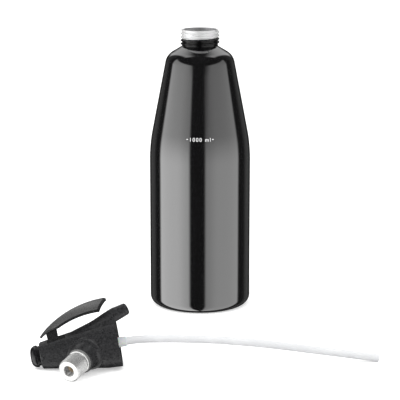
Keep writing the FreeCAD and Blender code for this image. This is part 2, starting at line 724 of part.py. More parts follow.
# Lever: arched blade turned about a far centre, trimmed to a leaf, on a post with a hub and a forked toe
def make_lever():
    arch = doc.addObject("PartDesign::Body", "blade_arch")
    section = new_sketch(arch, "blade_section", "XY_Plane")
    half_width, drop = value("blade_width / 2"), value("blade_drop")
    crown = (half_width ** 2 + drop ** 2) / (2 * drop)
    spread = math.asin(half_width / crown)
    centre = Vector(value("blade_arc") - crown, 0, 0)
    up = Vector(0, 0, 1)
    outer = Part.ArcOfCircle(Part.Circle(centre, up, crown), -spread, spread)
    inner = Part.ArcOfCircle(Part.Circle(centre, up, crown - value("blade_thickness")), -spread, spread)
    section.addGeometry(outer)
    section.addGeometry(inner)
    section.addGeometry(Part.LineSegment(outer.StartPoint, inner.StartPoint))
    section.addGeometry(Part.LineSegment(inner.EndPoint, outer.EndPoint))
    turn = arch.newObject("PartDesign::Revolution", "blade_turn")
    turn.Profile = section
    turn.ReferenceAxis = (section, ["V_Axis"])
    turn.Angle = 180
    turn.Midplane = True
    arch.Placement.Base = Vector(-value("blade_centre_back"), 0, value(f"{PIVOT} - blade_centre_drop"))
    doc.recompute()

    half = "blade_width / 2"
    leaf = padded("blade_leaf", "YZ_Plane", [
        ("-blade_tail_width / 2", f"{PIVOT} + blade_tail"),
        ("-blade_waist / 2", f"{PIVOT} - blade_waist_height"),
        (f"-{half}", f"{PIVOT} - blade_reach + blade_chevron"),
        (0, f"{PIVOT} - blade_reach"),
        (half, f"{PIVOT} - blade_reach + blade_chevron"),
        ("blade_waist / 2", f"{PIVOT} - blade_waist_height"),
        ("blade_tail_width / 2", f"{PIVOT} + blade_tail"),
    ], "2 * blade_arc")
    blade = doc.addObject("Part::Common", "blade")
    blade.Base = arch
    blade.Tool = leaf

    middle_arc = "(blade_arc - blade_thickness / 2)"
    lead_reach = f"sqrt({middle_arc}^2 - (blade_centre_drop - post_lead)^2) - blade_centre_back"
    tail_reach = f"sqrt({middle_arc}^2 - (blade_centre_drop + post_tail)^2) - blade_centre_back"
    post = padded("lever_post", "XZ_Plane", [
        ("pivot_offset", f"{PIVOT} - hub_radius"),
        ("pivot_offset + post_tail", f"{PIVOT} - post_lead"),
        (lead_reach, f"{PIVOT} - post_lead"),
        (tail_reach, f"{PIVOT} + post_tail"),
        ("pivot_offset", f"{PIVOT} + hub_radius"),
    ], "post_width")
    half_post = "post_width / 2"
    hub = cylinder("lever_hub", "hub_radius", f"-{half_post}", half_post, pivot_place())
    nose_place = Placement(Vector(0, 0, value(PIVOT)), Rotation(Vector(1, 0, 0), 90))
    nose = cylinder("toe_nose", "toe_radius", f"-{half_post}", half_post, nose_place)
    toe = block("toe", ("0", f"-{half_post}", f"{PIVOT} - toe_radius"),
                ("pivot_offset", half_post, f"{PIVOT} + toe_radius"))
    fork = block("toe_fork", ("-2 * toe_radius", "-toe_slot", f"{PIVOT} - 2 * toe_radius"),
                 ("pivot_offset - hub_radius", "toe_slot", f"{PIVOT} + 2 * toe_radius"))
    pin_hole = cylinder("lever_pin_hole", "pin_radius + lever_gap", "-post_width", "post_width", pivot_place())
    solid = joined("lever_lump", blade, post, hub, nose, toe)
    piece("lever", cut("lever", solid, fork, pin_hole), HEAD)


def make_lever_pin():
    piece("lever_pin", cylinder("lever_pin", "pin_radius", "-pin_reach", "pin_reach", pivot_place()), HEAD)


# Spout: nozzle that starts flush against the hood, a spigot inside the hood and its sealing ring
def make_spout():
    nozzle = turned("nozzle", [
        (0, "-hood_radius / 2"),
        ("spout_root_radius", "-hood_radius / 2"),
        ("spout_tip_radius", "spout_length", "spout_tip_round"),
        (0, "spout_length"),
    ])
    nozzle.Placement = SPOUT
    above = block("above_mouth", (0, "-boss_length", 0), ("3 * boss_length", "boss_length", "boss_length"))
    groove = "(spigot_radius - 2 * spout_ring_section)"
    spigot = turned("spigot", [
        (0, "-spigot_length"),
        ("spigot_radius", "-spigot_length"),
        ("spigot_radius", "-spout_ring_depth - spout_ring_section - fit_gap"),
        (f"{groove} - fit_gap", "-spout_ring_depth - spout_ring_section - fit_gap"),
        (f"{groove} - fit_gap", "-spout_ring_depth + spout_ring_section + fit_gap"),
        ("spigot_radius", "-spout_ring_depth + spout_ring_section + fit_gap"),
        ("spigot_radius", "hood_radius / 2"),
        (0, "hood_radius / 2"),
    ])
    spigot.Placement = SPOUT
    bore = cylinder("spout_bore", "spout_bore", "-2 * spigot_length", "2 * spout_length", SPOUT)
    tube = cut("spout_tube", joined("spout_lump", cut("nozzle_end", nozzle, above), spigot), bore)
    piece("spout_tube", tube, HEAD)
    piece("spout_ring", ring("spout_ring", "spigot_radius - spout_ring_section", "spout_ring_section",
                             "-spout_ring_depth"), HEAD * SPOUT)


# Charger port: metal stub screwed into the boss, with washer, seals, filter, needle holder and needle
def make_charger_port():
    place = HEAD * PORT
    groove = "(port_thread_radius - 2 * port_ring_section)"
    ring_height = f"({STUB_BOTTOM} - port_thread / 2)"
    stub = turned("port_stub", [
        (0, PORT_STEM_BOTTOM),
        ("port_stem_radius", PORT_STEM_BOTTOM),
        ("port_stem_radius", PORT_STEM_TOP),
        ("port_thread_radius", PORT_STEM_TOP),
        ("port_thread_radius", f"{ring_height} - port_ring_section - fit_gap"),
        (f"{groove} - fit_gap", f"{ring_height} - port_ring_section - fit_gap"),
        (f"{groove} - fit_gap", f"{ring_height} + port_ring_section + fit_gap"),
        ("port_thread_radius", f"{ring_height} + port_ring_section + fit_gap"),
        ("port_thread_radius", STUB_BOTTOM),
        ("port_radius", STUB_BOTTOM),
        ("port_radius", f"{STUB_TOP} - port_edge"),
        ("port_radius - port_edge", STUB_TOP),
        ("socket_radius", STUB_TOP),
        ("socket_radius", SOCKET_FLOOR),
        ("gas_bore", SOCKET_FLOOR),
        ("gas_bore", f"{PORT_STEM_BOTTOM} + gas_stop"),
        (0, f"{PORT_STEM_BOTTOM} + gas_stop"),
    ])
    side = Placement(Vector(0, 0, value(f"{PORT_STEM_BOTTOM} + gas_outlet_height")), Rotation(Vector(0, 1, 0), 90))
    outlet = cylinder("gas_outlet", "gas_outlet", "0", "boss_bore", side)
    piece("charger_port", cut("charger_port", stub, outlet), place)
    piece("port_ring", ring("port_ring", "port_thread_radius - port_ring_section", "port_ring_section",
                            ring_height), place)
    piece("port_washer", turned("port_washer", [
        ("port_thread_radius + fit_gap", "boss_length"),
        ("port_washer_radius", "boss_length"),
        ("port_washer_radius", STUB_BOTTOM),
        ("port_thread_radius + fit_gap", STUB_BOTTOM),
    ]), place)
    outlet_height = f"({PORT_STEM_BOTTOM} + gas_outlet_height)"
    piece("check_sleeve", turned("check_sleeve", [
        ("port_stem_radius", f"{outlet_height} - sleeve_valve_length / 2"),
        ("port_stem_radius + sleeve_valve_wall", f"{outlet_height} - sleeve_valve_length / 2"),
        ("port_stem_radius + sleeve_valve_wall", f"{outlet_height} + sleeve_valve_length / 2"),
        ("port_stem_radius", f"{outlet_height} + sleeve_valve_length / 2"),
    ]), place)
    bore = "(socket_radius - fit_gap)"
    piece("gas_filter", cylinder("gas_filter", bore, SOCKET_FLOOR, HOLDER_BOTTOM), place)
    holder = cylinder("needle_holder_blank", bore, HOLDER_BOTTOM, HOLDER_TOP)
    needle_bore = cylinder("needle_bore", "needle_radius + pin_gap", HOLDER_BOTTOM, HOLDER_TOP)
    vents = []
    for index in range(HOLDER_VENTS):
        turn = Rotation(Vector(0, 0, 1), index * 360 / HOLDER_VENTS)
        spot = Placement(turn.multVec(Vector(value("holder_vent_offset"), 0, 0)), Rotation())
        vents.append(cylinder(f"holder_vent_{index + 1}", "holder_vent", HOLDER_BOTTOM, HOLDER_TOP, spot))
    piece("needle_holder", cut("needle_holder", holder, needle_bore, *vents), place)
    piece("charger_seal", turned("charger_seal", [
        ("charger_seal_bore", HOLDER_TOP),
        (bore, HOLDER_TOP),
        (bore, f"{HOLDER_TOP} + charger_seal_height"),
        ("charger_seal_bore", f"{HOLDER_TOP} + charger_seal_height"),
    ]), place)
    piece("needle", turned("needle", [
        (0, HOLDER_BOTTOM),
        ("needle_radius", HOLDER_BOTTOM),
        ("needle_radius", f"{HOLDER_TOP} + needle_reach - needle_point"),
        (0, f"{HOLDER_TOP} + needle_reach"),
    ]), place)


def check():
    """Stop if any object failed, or if any piece isn't one valid solid."""
    for thing in doc.Objects:
        if "Invalid" in thing.State or "Error" in thing.State:
            raise RuntimeError(f"{thing.Name} failed: {thing.State}")
    for thing in PIECES:
        if thing.Shape.isNull() or not thing.Shape.isValid() or len(thing.Shape.Solids) != 1:
            raise RuntimeError(f"{thing.Label} is not one valid solid")


def write():
    """Write each piece to its own file and print its box."""
    os.makedirs("parts", exist_ok=True)
    for thing in PIECES:
        thing.Shape.exportStep(f"parts/{thing.Label}.step")
        box = thing.Shape.optimalBoundingBox()
        corners = (box.XMin, box.YMin, box.ZMin, box.XMax, box.YMax, box.ZMax)
        print(thing.Label, round(thing.Shape.Volume, 1), [round(corner, 2) for corner in corners])


make_bottle()
make_head_body()
make_neck_gasket()
make_tube_nut()
make_dip_tube()
make_valve_seat()
make_valve_stem()
make_stem_guide()
make_valve_spring()
make_top_cap()
make_lever()
make_lever_pin()
make_spout()
make_charger_port()
doc.recompute()
check()
write()
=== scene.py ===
import json
import math

import bmesh
import bpy
import numpy as np
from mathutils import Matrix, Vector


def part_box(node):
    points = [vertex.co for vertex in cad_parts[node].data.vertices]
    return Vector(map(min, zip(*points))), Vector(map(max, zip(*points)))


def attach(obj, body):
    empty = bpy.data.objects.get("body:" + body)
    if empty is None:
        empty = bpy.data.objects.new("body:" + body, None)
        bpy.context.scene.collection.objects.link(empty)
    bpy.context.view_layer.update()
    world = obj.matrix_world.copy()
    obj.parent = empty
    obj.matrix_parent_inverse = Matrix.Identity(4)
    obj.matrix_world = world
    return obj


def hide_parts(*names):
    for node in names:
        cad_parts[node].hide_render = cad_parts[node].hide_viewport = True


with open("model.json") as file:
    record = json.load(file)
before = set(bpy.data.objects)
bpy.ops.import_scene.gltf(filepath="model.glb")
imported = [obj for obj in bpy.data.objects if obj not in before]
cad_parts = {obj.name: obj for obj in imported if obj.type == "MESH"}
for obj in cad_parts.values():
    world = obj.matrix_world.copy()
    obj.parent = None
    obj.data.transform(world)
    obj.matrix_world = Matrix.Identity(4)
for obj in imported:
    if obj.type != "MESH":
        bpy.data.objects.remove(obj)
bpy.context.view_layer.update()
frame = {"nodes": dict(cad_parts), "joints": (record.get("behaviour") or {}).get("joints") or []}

bl_info = {
    "name": "Soda siphon",
    "version": (1, 0, 0),
    "blender": (4, 5, 0),
    "location": "View3D > Sidebar > Siphon",
    "description": "Dresses a soda siphon: gloss bottle, valve head, lever, spout, port and dip tube",
    "category": "Object",
}

# All lengths are in metres. The head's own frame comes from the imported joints: Z runs along the valve stem
# from the mouth to the cap, Y along the lever's pin, and X towards the lever and spout.
MM = 0.001
JOINTS = {joint["name"]: joint for joint in frame["joints"]}
STEM_AXIS = np.array(JOINTS["stem_lift"]["axis"])
PIN_AXIS = np.array(JOINTS["lever_pivot"]["axis"])
HEAD_AXES = np.array([np.cross(PIN_AXIS, STEM_AXIS), PIN_AXIS, STEM_AXIS])
PIVOT_PLACE = np.array(JOINTS["lever_pivot"]["pos_m"])

PIVOT_OFFSET = 8.5 * MM
PIVOT_HEIGHT = 54.5 * MM
HEAD_ORIGIN = PIVOT_PLACE - PIVOT_OFFSET * HEAD_AXES[0] - PIVOT_HEIGHT * HEAD_AXES[2]
BOTTLE_BOX = np.array(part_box("bottle"))
BOTTLE_PLACE = BOTTLE_BOX.mean(axis=0) * (1, 1, 0)

# Bottle, whose shoulder is rounder than the solid's
BODY_RADIUS = 47.0 * MM
WALL = 1.2 * MM
NECK_RADIUS = 16.6 * MM
NECK_BORE = 15.0 * MM
NECK_BASE = 245.2 * MM
NECK_TOP = 260.5 * MM
TAPER_START = 153.0 * MM
SHOULDER_RADIUS = 30.9 * MM
SHOULDER_HEIGHT = 236.6 * MM
PUNT_HEIGHT = 7.0 * MM
PUNT_FLOOR = 20.0 * MM
PUNT_RADIUS = 33.0 * MM
BASE_ROUND = 8.5 * MM
TAPER_ROUND = 150.0 * MM
SHOULDER_ROUND = 14.0 * MM

# Neck and collar threads
THREAD_DEPTH = 1.35 * MM
THREAD_PITCH = 3.1 * MM
THREAD_FLAT = 0.7 * MM
THREAD_FOOT = 2.1 * MM
THREAD_START = NECK_BASE + 3.6 * MM
THREAD_LENGTH = 9.3 * MM
FIRST_TURN = NECK_BASE + 1.6 * MM
PAINT_EDGE = 250.2 * MM

# Head
CAVITY_RADIUS = 18.1 * MM
ROOF = 16.5 * MM
MOUTH_RADIUS = 20.15 * MM
COLLAR_RADIUS = 19.6 * MM
COLLAR_HEIGHT = 12.0 * MM
BARREL_RADIUS = 11.0 * MM
BARREL_TOP = 66.0 * MM
SLOT_LOW = 43.2 * MM
SLOT_HIGH = 58.8 * MM
SLOT_HALF = 4.0 * MM
SLOT_FLOOR = 2.5 * MM
SPOUT_OFFSET = 25.3 * MM
SPOUT_ANGLE = math.radians(19)
RIDGE_RADIUS = 4.0 * MM
RIDGE_END = 43.5 * MM
HOOD_START = 22.7 * MM
HOOD_RADIUS = 6.05 * MM
PORT_HEIGHT = 20.0 * MM
PORT_ANGLE = math.radians(30)
BOSS_RADIUS = 11.3 * MM
BOSS_LENGTH = 27.0 * MM
BOSS_BORE = 7.4 * MM
WASHER_HEIGHT = 1.2 * MM
PORT_RADIUS = 9.6 * MM
PORT_LENGTH = 17.8 * MM

# Lever
BLADE_ARC = 81.2 * MM
BLADE_THICKNESS = 1.8 * MM
BLADE_HALF = 11.0 * MM
BLADE_DROP = 6.2 * MM
BLADE_CENTRE = (-40.2 * MM, PIVOT_HEIGHT - 48.4 * MM)
BLADE_TAIL = PIVOT_HEIGHT + 9.5 * MM
BLADE_TIP = PIVOT_HEIGHT - 51.0 * MM
BLADE_CHEVRON = 7.2 * MM
BLADE_TAIL_HALF = 1.2 * MM
BLADE_WAIST_HALF = 8.8 * MM
BLADE_WAIST = PIVOT_HEIGHT - 4.5 * MM
POST_HALF = 3.65 * MM
HUB_RADIUS = 3.1 * MM

# Dip tube
TUBE_RADIUS = 3.25 * MM
TUBE_BORE = 2.2 * MM
TUBE_REACH = 220.0 * MM
TUBE_SEAT = 10.0 * MM
SLEEVE_REACH = 6.0 * MM
TUBE_ELBOW = 120.0 * MM
TUBE_BOW = 110.0 * MM

TURN = 2 * math.pi


# Places

def on_head(points):
    """Head-frame points, in metres, as row-frame points."""
    return HEAD_ORIGIN + points @ HEAD_AXES


def on_bottle(points):
    """Points about the bottle's axis as row-frame points."""
    return BOTTLE_PLACE + points


def port_to_head(points):
    """Points about the charger port's axis as head-frame points: turned about X, then raised."""
    axes = np.array([[1, 0, 0],
                     [0, math.sin(PORT_ANGLE), math.cos(PORT_ANGLE)],
                     [0, -math.cos(PORT_ANGLE), math.sin(PORT_ANGLE)]])
    return np.array([0, 0, PORT_HEIGHT]) + points @ axes


def on_port(points):
    """Points about the charger port's axis as row-frame points."""
    return on_head(port_to_head(points))


def on_spout(points):
    """Points about the spout's axis, which leaves the mouth plane outwards, as row-frame points."""
    axes = np.array([[-math.cos(SPOUT_ANGLE), 0, -math.sin(SPOUT_ANGLE)],
                     [0, 1, 0],
                     [math.sin(SPOUT_ANGLE), 0, -math.cos(SPOUT_ANGLE)]])
    return on_head(np.array([SPOUT_OFFSET, 0, 0]) + points @ axes)


# Meshes

def circle(count):
    """Angles of a whole turn in even steps."""
    return np.arange(count) * TURN / count


def around(radius, angle, height):
    """Points about the Z axis: (radius cos angle, radius sin angle, height), broadcast together."""
    return np.stack(np.broadcast_arrays(radius * np.cos(angle), radius * np.sin(angle), height), -1)


def divided(line, counts):
    """Closed profile with each step cut into its count of even parts."""
    steps = np.diff(line, axis=0, append=line[:1])
    return np.vstack([start + np.arange(count)[:, None] / count * step
                      for start, step, count in zip(line, steps, counts)])


def grid_faces(rows, columns, wrap_rows, wrap_columns):
    """Quads of a grid of rows by columns, joined round where asked."""
    row = np.arange(rows if wrap_rows else rows - 1)
    column = np.arange(columns if wrap_columns else columns - 1)
    i, j = np.meshgrid(row, column, indexing="ij")
    i_next, j_next = (i + 1) % rows, (j + 1) % columns
    corners = ((i, j), (i, j_next), (i_next, j_next), (i_next, j))
    return np.stack([row * columns + column for row, column in corners], -1).reshape(-1, 4)


def solid(name, points, faces, crease=35, face_slots=None):
    """Mesh object with doubles merged, faces outwards, and smooth but for edges past crease degrees."""
    mesh = bpy.data.meshes.new(name)
    mesh.from_pydata(points.reshape(-1, 3).tolist(), [], faces.tolist())
    if face_slots is not None:
        mesh.polygons.foreach_set("material_index", face_slots.astype(np.int32))
    work = bmesh.new()
    work.from_mesh(mesh)
    bmesh.ops.remove_doubles(work, verts=work.verts, dist=0.002 * MM)
    bmesh.ops.dissolve_degenerate(work, edges=work.edges, dist=0.001 * MM)
    bmesh.ops.recalc_face_normals(work, faces=work.faces)
    work.to_mesh(mesh)
    work.free()
    mesh.polygons.foreach_set("use_smooth", np.ones(len(mesh.polygons), dtype=bool))
    mesh.set_sharp_from_angle(angle=math.radians(crease))
    piece = bpy.data.objects.new(name, mesh)
    bpy.context.scene.collection.objects.link(piece)
    return piece


def rounded(corners, arc_steps=8):
    """Profile through corners (across, up, radius): straight runs joined by arcs of the given radii."""
    points = np.array([corner[:2] for corner in corners], dtype=float)
    line = []
    for index, corner in enumerate(corners):
        here = points[index]
        radius = corner[2] if len(corner) > 2 else 0
        if not radius:
            line.append(here)
            continue
        back = points[index - 1] - here
        ahead = points[(index + 1) % len(points)] - here
        back, ahead = back / np.linalg.norm(back), ahead / np.linalg.norm(ahead)
        half = math.acos(np.clip(back @ ahead, -1, 1)) / 2
        middle = (back + ahead) / np.linalg.norm(back + ahead)
        centre = here + middle * radius / math.sin(half)
        start = here + back * radius / math.tan(half) - centre
        end = here + ahead * radius / math.tan(half) - centre
        sweep = math.pi - 2 * half
        share = np.linspace(0, 1, arc_steps + 1)[:, None]
        arc = (np.sin((1 - share) * sweep) * start + np.sin(share * sweep) * end) / math.sin(sweep)
        line.extend(centre + arc)
    return np.array(line)


def lathe(name, corners, place, columns=96, arc_steps=8):
    """Profile of (radius, height) corners carried round the Z axis of a place."""
    line = rounded(corners, arc_steps)
    points = around(line[:, :1], circle(columns), line[:, 1:])
    return solid(name, place(points), grid_faces(len(line), columns, True, True))


def smooth_step(share):
    """Eased share from 0 to 1: share squared times (3 less twice the share)."""
    share = np.clip(share, 0, 1)
    return share * share * (3 - 2 * share)


def smooth_max(first, second, width):
    """The larger of two arrays, blended over the given width."""
    share = np.clip(0.5 + 0.5 * (first - second) / width, 0, 1)
    return second * (1 - share) + first * share + width * share * (1 - share)


def thread_height(angle, height, start, length, pitch=THREAD_PITCH, flat=THREAD_FLAT, foot=THREAD_FOOT):
    """Share of a thread's depth: its crest is at start + pitch * angle / turn, and fades at both ends."""
    turns = (height - start) / pitch - angle / TURN
    nearest = np.round(turns)
    away = np.abs(turns - nearest) * pitch
    crest = start + pitch * (nearest + angle / TURN)
    ridge = smooth_step((foot / 2 - away) / (foot / 2 - flat / 2))
    fade = 0.3 * pitch
    return ridge * smooth_step((crest - start) / fade) * smooth_step((start + length - crest) / fade)


# Materials

class Finish:
    """One procedural material: a Principled shader with helpers for its textures."""

    def __init__(self, name, **sockets):
        self.material = bpy.data.materials.new(name)
        self.material.use_nodes = True
        self.nodes = self.material.node_tree.nodes
        self.links = self.material.node_tree.links
        self.shader = self.nodes["Principled BSDF"]
        for socket, value in sockets.items():
            self.shader.inputs[socket.replace("_", " ")].default_value = value
        self.coordinates = self.nodes.new("ShaderNodeTexCoord").outputs["Object"]
        self.normal = None

    def noise(self, scale, detail=2.0, stretch=None):
        """Noise on Object coordinates; scale is in features per metre."""
        texture = self.nodes.new("ShaderNodeTexNoise")
        texture.inputs["Scale"].default_value = scale
        texture.inputs["Detail"].default_value = detail
        source = self.coordinates
        if stretch:
            mapping = self.nodes.new("ShaderNodeMapping")
            mapping.inputs["Scale"].default_value = stretch
            self.links.new(source, mapping.inputs["Vector"])
            source = mapping.outputs["Vector"]
        self.links.new(source, texture.inputs["Vector"])
        return texture.outputs["Fac"]

    def spread(self, source, low, high, low_in=0.35, high_in=0.65):
        """A texture's middle range as values from low to high."""
        node = self.nodes.new("ShaderNodeMapRange")
        limits = {"From Min": low_in, "From Max": high_in, "To Min": low, "To Max": high}
        for socket, value in limits.items():
            node.inputs[socket].default_value = value
        self.links.new(source, node.inputs["Value"])
        return node.outputs["Result"]

    def rough(self, source, low, high):
        """Roughness that drifts between two values."""
        self.links.new(self.spread(source, low, high), self.shader.inputs["Roughness"])
        return self

    def tint(self, source, dark, light):
        """Base colour that drifts between two colours."""
        ramp = self.nodes.new("ShaderNodeValToRGB")
        ramp.color_ramp.elements[0].position = 0.35
        ramp.color_ramp.elements[1].position = 0.65
        ramp.color_ramp.elements[0].color = (*dark, 1)
        ramp.color_ramp.elements[1].color = (*light, 1)
        self.links.new(source, ramp.inputs["Fac"])
        self.links.new(ramp.outputs["Color"], self.shader.inputs["Base Color"])
        return self

    def bump(self, source, depth, strength=1.0, coat=False):
        """Relief of the given depth in metres."""
        node = self.nodes.new("ShaderNodeBump")
        node.inputs["Distance"].default_value = depth
        node.inputs["Strength"].default_value = strength
        self.links.new(source, node.inputs["Height"])
        if self.normal:
            self.links.new(self.normal, node.inputs["Normal"])
        self.normal = node.outputs["Normal"]
        self.links.new(self.normal, self.shader.inputs["Coat Normal" if coat else "Normal"])
        return self


def gloss_paint():
    finish = Finish("gloss_black_paint", IOR=1.9, Coat_Weight=1.0, Coat_Roughness=0.035, Coat_IOR=2.0)
    finish.tint(finish.noise(900, 4), (0.0015, 0.0015, 0.0017), (0.003, 0.003, 0.0033))
    finish.rough(finish.noise(400, 3), 0.08, 0.14)
    return finish.bump(finish.noise(700, 2), 0.003 * MM, 0.5).material


def neck_paint():
    finish = Finish("black_neck_paint", IOR=1.45)
    finish.tint(finish.noise(900, 4), (0.0015, 0.0015, 0.0017), (0.003, 0.003, 0.0033))
    finish.rough(finish.noise(400, 3), 0.18, 0.28)
    return finish.bump(finish.noise(700, 2), 0.003 * MM, 0.5).material


def bare_aluminium():
    finish = Finish("bare_turned_aluminium", Metallic=0.75)
    finish.tint(finish.noise(300, 3, (1, 1, 30)), (0.95, 0.95, 0.955), (1.0, 1.0, 1.0))
    finish.rough(finish.noise(500, 3, (1, 1, 12)), 0.48, 0.62)
    return finish.bump(finish.noise(400, 2, (1, 1, 20)), 0.01 * MM, 0.6).material


def drawn_aluminium():
    finish = Finish("drawn_aluminium_inside", Metallic=1.0)
    finish.tint(finish.noise(150, 3, (8, 8, 1)), (0.84, 0.84, 0.85), (0.95, 0.95, 0.96))
    finish.rough(finish.noise(200, 3, (6, 6, 1)), 0.45, 0.6)
    return finish.bump(finish.noise(500, 2, (5, 5, 1)), 0.02 * MM, 0.6).material


def textured_plastic():
    finish = Finish("textured_black_plastic", IOR=1.5)
    finish.tint(finish.noise(1100, 3), (0.006, 0.006, 0.0065), (0.036, 0.036, 0.038))
    finish.rough(finish.noise(500, 2), 0.26, 0.42)
    finish.bump(finish.noise(1500, 3), 0.16 * MM, 0.7)
    return finish.bump(finish.noise(420, 2), 0.4 * MM, 0.7).material


def gloss_plastic():
    finish = Finish("gloss_black_plastic", IOR=1.55)
    finish.tint(finish.noise(600, 2), (0.006, 0.006, 0.0065), (0.012, 0.012, 0.013))
    finish.rough(finish.noise(500, 2), 0.1, 0.2)
    return finish.bump(finish.noise(1200, 2), 0.01 * MM, 0.3).material


# The lever is black plastic; this lighter grey, part-metal face stands in for the sheen of light across its
# blade: a painted sheen.
def lever_painted_sheen():
    finish = Finish("lever_face_painted_sheen", IOR=1.6, Metallic=0.55)
    finish.tint(finish.noise(2200, 4), (0.09, 0.09, 0.09), (0.19, 0.19, 0.188))
    finish.rough(finish.noise(900, 3), 0.26, 0.38)
    return finish.bump(finish.noise(3000, 3), 0.04 * MM, 0.5).material


def lever_rim():
    finish = Finish("black_lever_rim", IOR=1.5)
    finish.tint(finish.noise(900, 3), (0.008, 0.008, 0.0085), (0.018, 0.018, 0.019))
    finish.rough(finish.noise(800, 2), 0.22, 0.36)
    return finish.bump(finish.noise(1500, 2), 0.02 * MM, 0.4).material


def plated_metal():
    finish = Finish("bright_plated_metal", Metallic=0.82)
    finish.tint(finish.noise(900, 4), (0.68, 0.68, 0.67), (0.9, 0.9, 0.89))
    finish.rough(finish.noise(1200, 3), 0.28, 0.48)
    return finish.bump(finish.noise(1800, 3), 0.02 * MM, 0.5).material


def brass():
    finish = Finish("turned_brass", Metallic=1.0)
    finish.tint(finish.noise(1200, 4), (0.42, 0.3, 0.16), (0.66, 0.5, 0.29))
    finish.rough(finish.noise(900, 3), 0.25, 0.42)
    return finish.bump(finish.noise(2000, 3), 0.02 * MM, 0.5).material


def steel():
    finish = Finish("satin_steel", Metallic=1.0)
    finish.tint(finish.noise(1400, 4), (0.5, 0.5, 0.51), (0.68, 0.68, 0.69))
    finish.rough(finish.noise(900, 3), 0.25, 0.4)
    return finish.bump(finish.noise(2200, 2), 0.01 * MM, 0.5).material


def blackened_steel():
    finish = Finish("blackened_steel", IOR=1.5)
    finish.tint(finish.noise(1400, 3), (0.012, 0.012, 0.012), (0.025, 0.025, 0.025))
    finish.rough(finish.noise(900, 2), 0.35, 0.5)
    return finish.bump(finish.noise(2200, 2), 0.01 * MM, 0.5).material


def rubber():
    finish = Finish("seal_rubber", IOR=1.5)
    finish.tint(finish.noise(1200, 3), (0.018, 0.018, 0.018), (0.035, 0.035, 0.035))
    finish.rough(finish.noise(900, 3), 0.6, 0.8)
    return finish.bump(finish.noise(2500, 3), 0.03 * MM, 0.5).material


def amber_seal():
    finish = Finish("amber_seal_plastic", IOR=1.5)
    finish.tint(finish.noise(1500, 3), (0.2, 0.14, 0.075), (0.42, 0.32, 0.2))
    finish.rough(finish.noise(900, 2), 0.3, 0.5)
    return finish.bump(finish.noise(2000, 2), 0.04 * MM, 0.6).material


def washer_grey():
    finish = Finish("grey_fibre_washer", IOR=1.5)
    finish.tint(finish.noise(1800, 4), (0.11, 0.11, 0.11), (0.2, 0.2, 0.195))
    finish.rough(finish.noise(900, 3), 0.45, 0.65)
    return finish.bump(finish.noise(2600, 3), 0.03 * MM, 0.5).material


def milky_tube():
    finish = Finish("milky_tube_plastic", IOR=1.45, Transmission_Weight=0.25, Subsurface_Weight=0.3,
                    Subsurface_Radius=(1.0, 1.0, 1.0), Subsurface_Scale=0.002)
    finish.tint(finish.noise(60, 3), (0.78, 0.785, 0.8), (0.84, 0.845, 0.855))
    finish.rough(finish.noise(500, 2), 0.28, 0.42)
    return finish.bump(finish.noise(300, 2), 0.02 * MM, 0.4).material


def white_nut():
    finish = Finish("white_nut_plastic", IOR=1.5, Subsurface_Weight=0.3, Subsurface_Scale=0.002)
    finish.tint(finish.noise(300, 3), (0.74, 0.745, 0.77), (0.82, 0.825, 0.85))
    finish.rough(finish.noise(700, 2), 0.35, 0.5)
    return finish.bump(finish.noise(1200, 2), 0.02 * MM, 0.4).material


def white_print():
    finish = Finish("white_print", IOR=1.5)
    finish.tint(finish.noise(2500, 3), (0.8, 0.8, 0.8), (0.9, 0.9, 0.9))
    finish.rough(finish.noise(900, 2), 0.3, 0.45)
    return finish.bump(finish.noise(3000, 2), 0.005 * MM, 0.4).material


def finish_piece(piece, body, slot, *materials, replaces=()):
    """Give a piece its materials and its body, and hide the nodes it stands for. The slot is not used."""
    for material in materials:
        piece.data.materials.append(material)
    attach(piece, body)
    piece.visible_glossy = body == "bottle"
    if replaces:
        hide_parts(*replaces)


# Settings

class SiphonSettings(bpy.types.PropertyGroup):
    """Sizes and levels that a user would change."""

    smoothness: bpy.props.IntProperty(
        name="Columns", description="Columns round the bottle", default=192, min=48)
    mark_height: bpy.props.FloatProperty(
        name="Fill mark height", description="Height of the fill mark above the foot", default=165 * MM,
        unit="LENGTH")
    mark_text: bpy.props.StringProperty(
        name="Fill mark", description="Plain volume figure", default="1000 ml")
    mark_size: bpy.props.FloatProperty(
        name="Letter height", description="Height of the mark's figures", default=4.2 * MM, unit="LENGTH")
    left_panel: bpy.props.FloatProperty(
        name="Left panel", description="Brightness of the left panel", default=1.32)
    right_panel: bpy.props.FloatProperty(
        name="Right panel", description="Brightness of the right panel", default=0.8)
    rear_arch: bpy.props.FloatProperty(
        name="Rear arch", description="Brightness of the arch behind", default=0.8)
    back_panels: bpy.props.FloatProperty(
        name="Back panels", description="Brightness behind the bottle", default=0.08)
    ambient: bpy.props.FloatProperty(
        name="Ambient", description="Brightness of the even light", default=0.72)
    floor_colour: bpy.props.FloatVectorProperty(
        name="Floor", description="Colour of the floor", default=(0.85, 0.85, 0.85), subtype="COLOR")


def settings():
    """The scene's siphon settings."""
    return bpy.context.scene.siphon


# Bottle

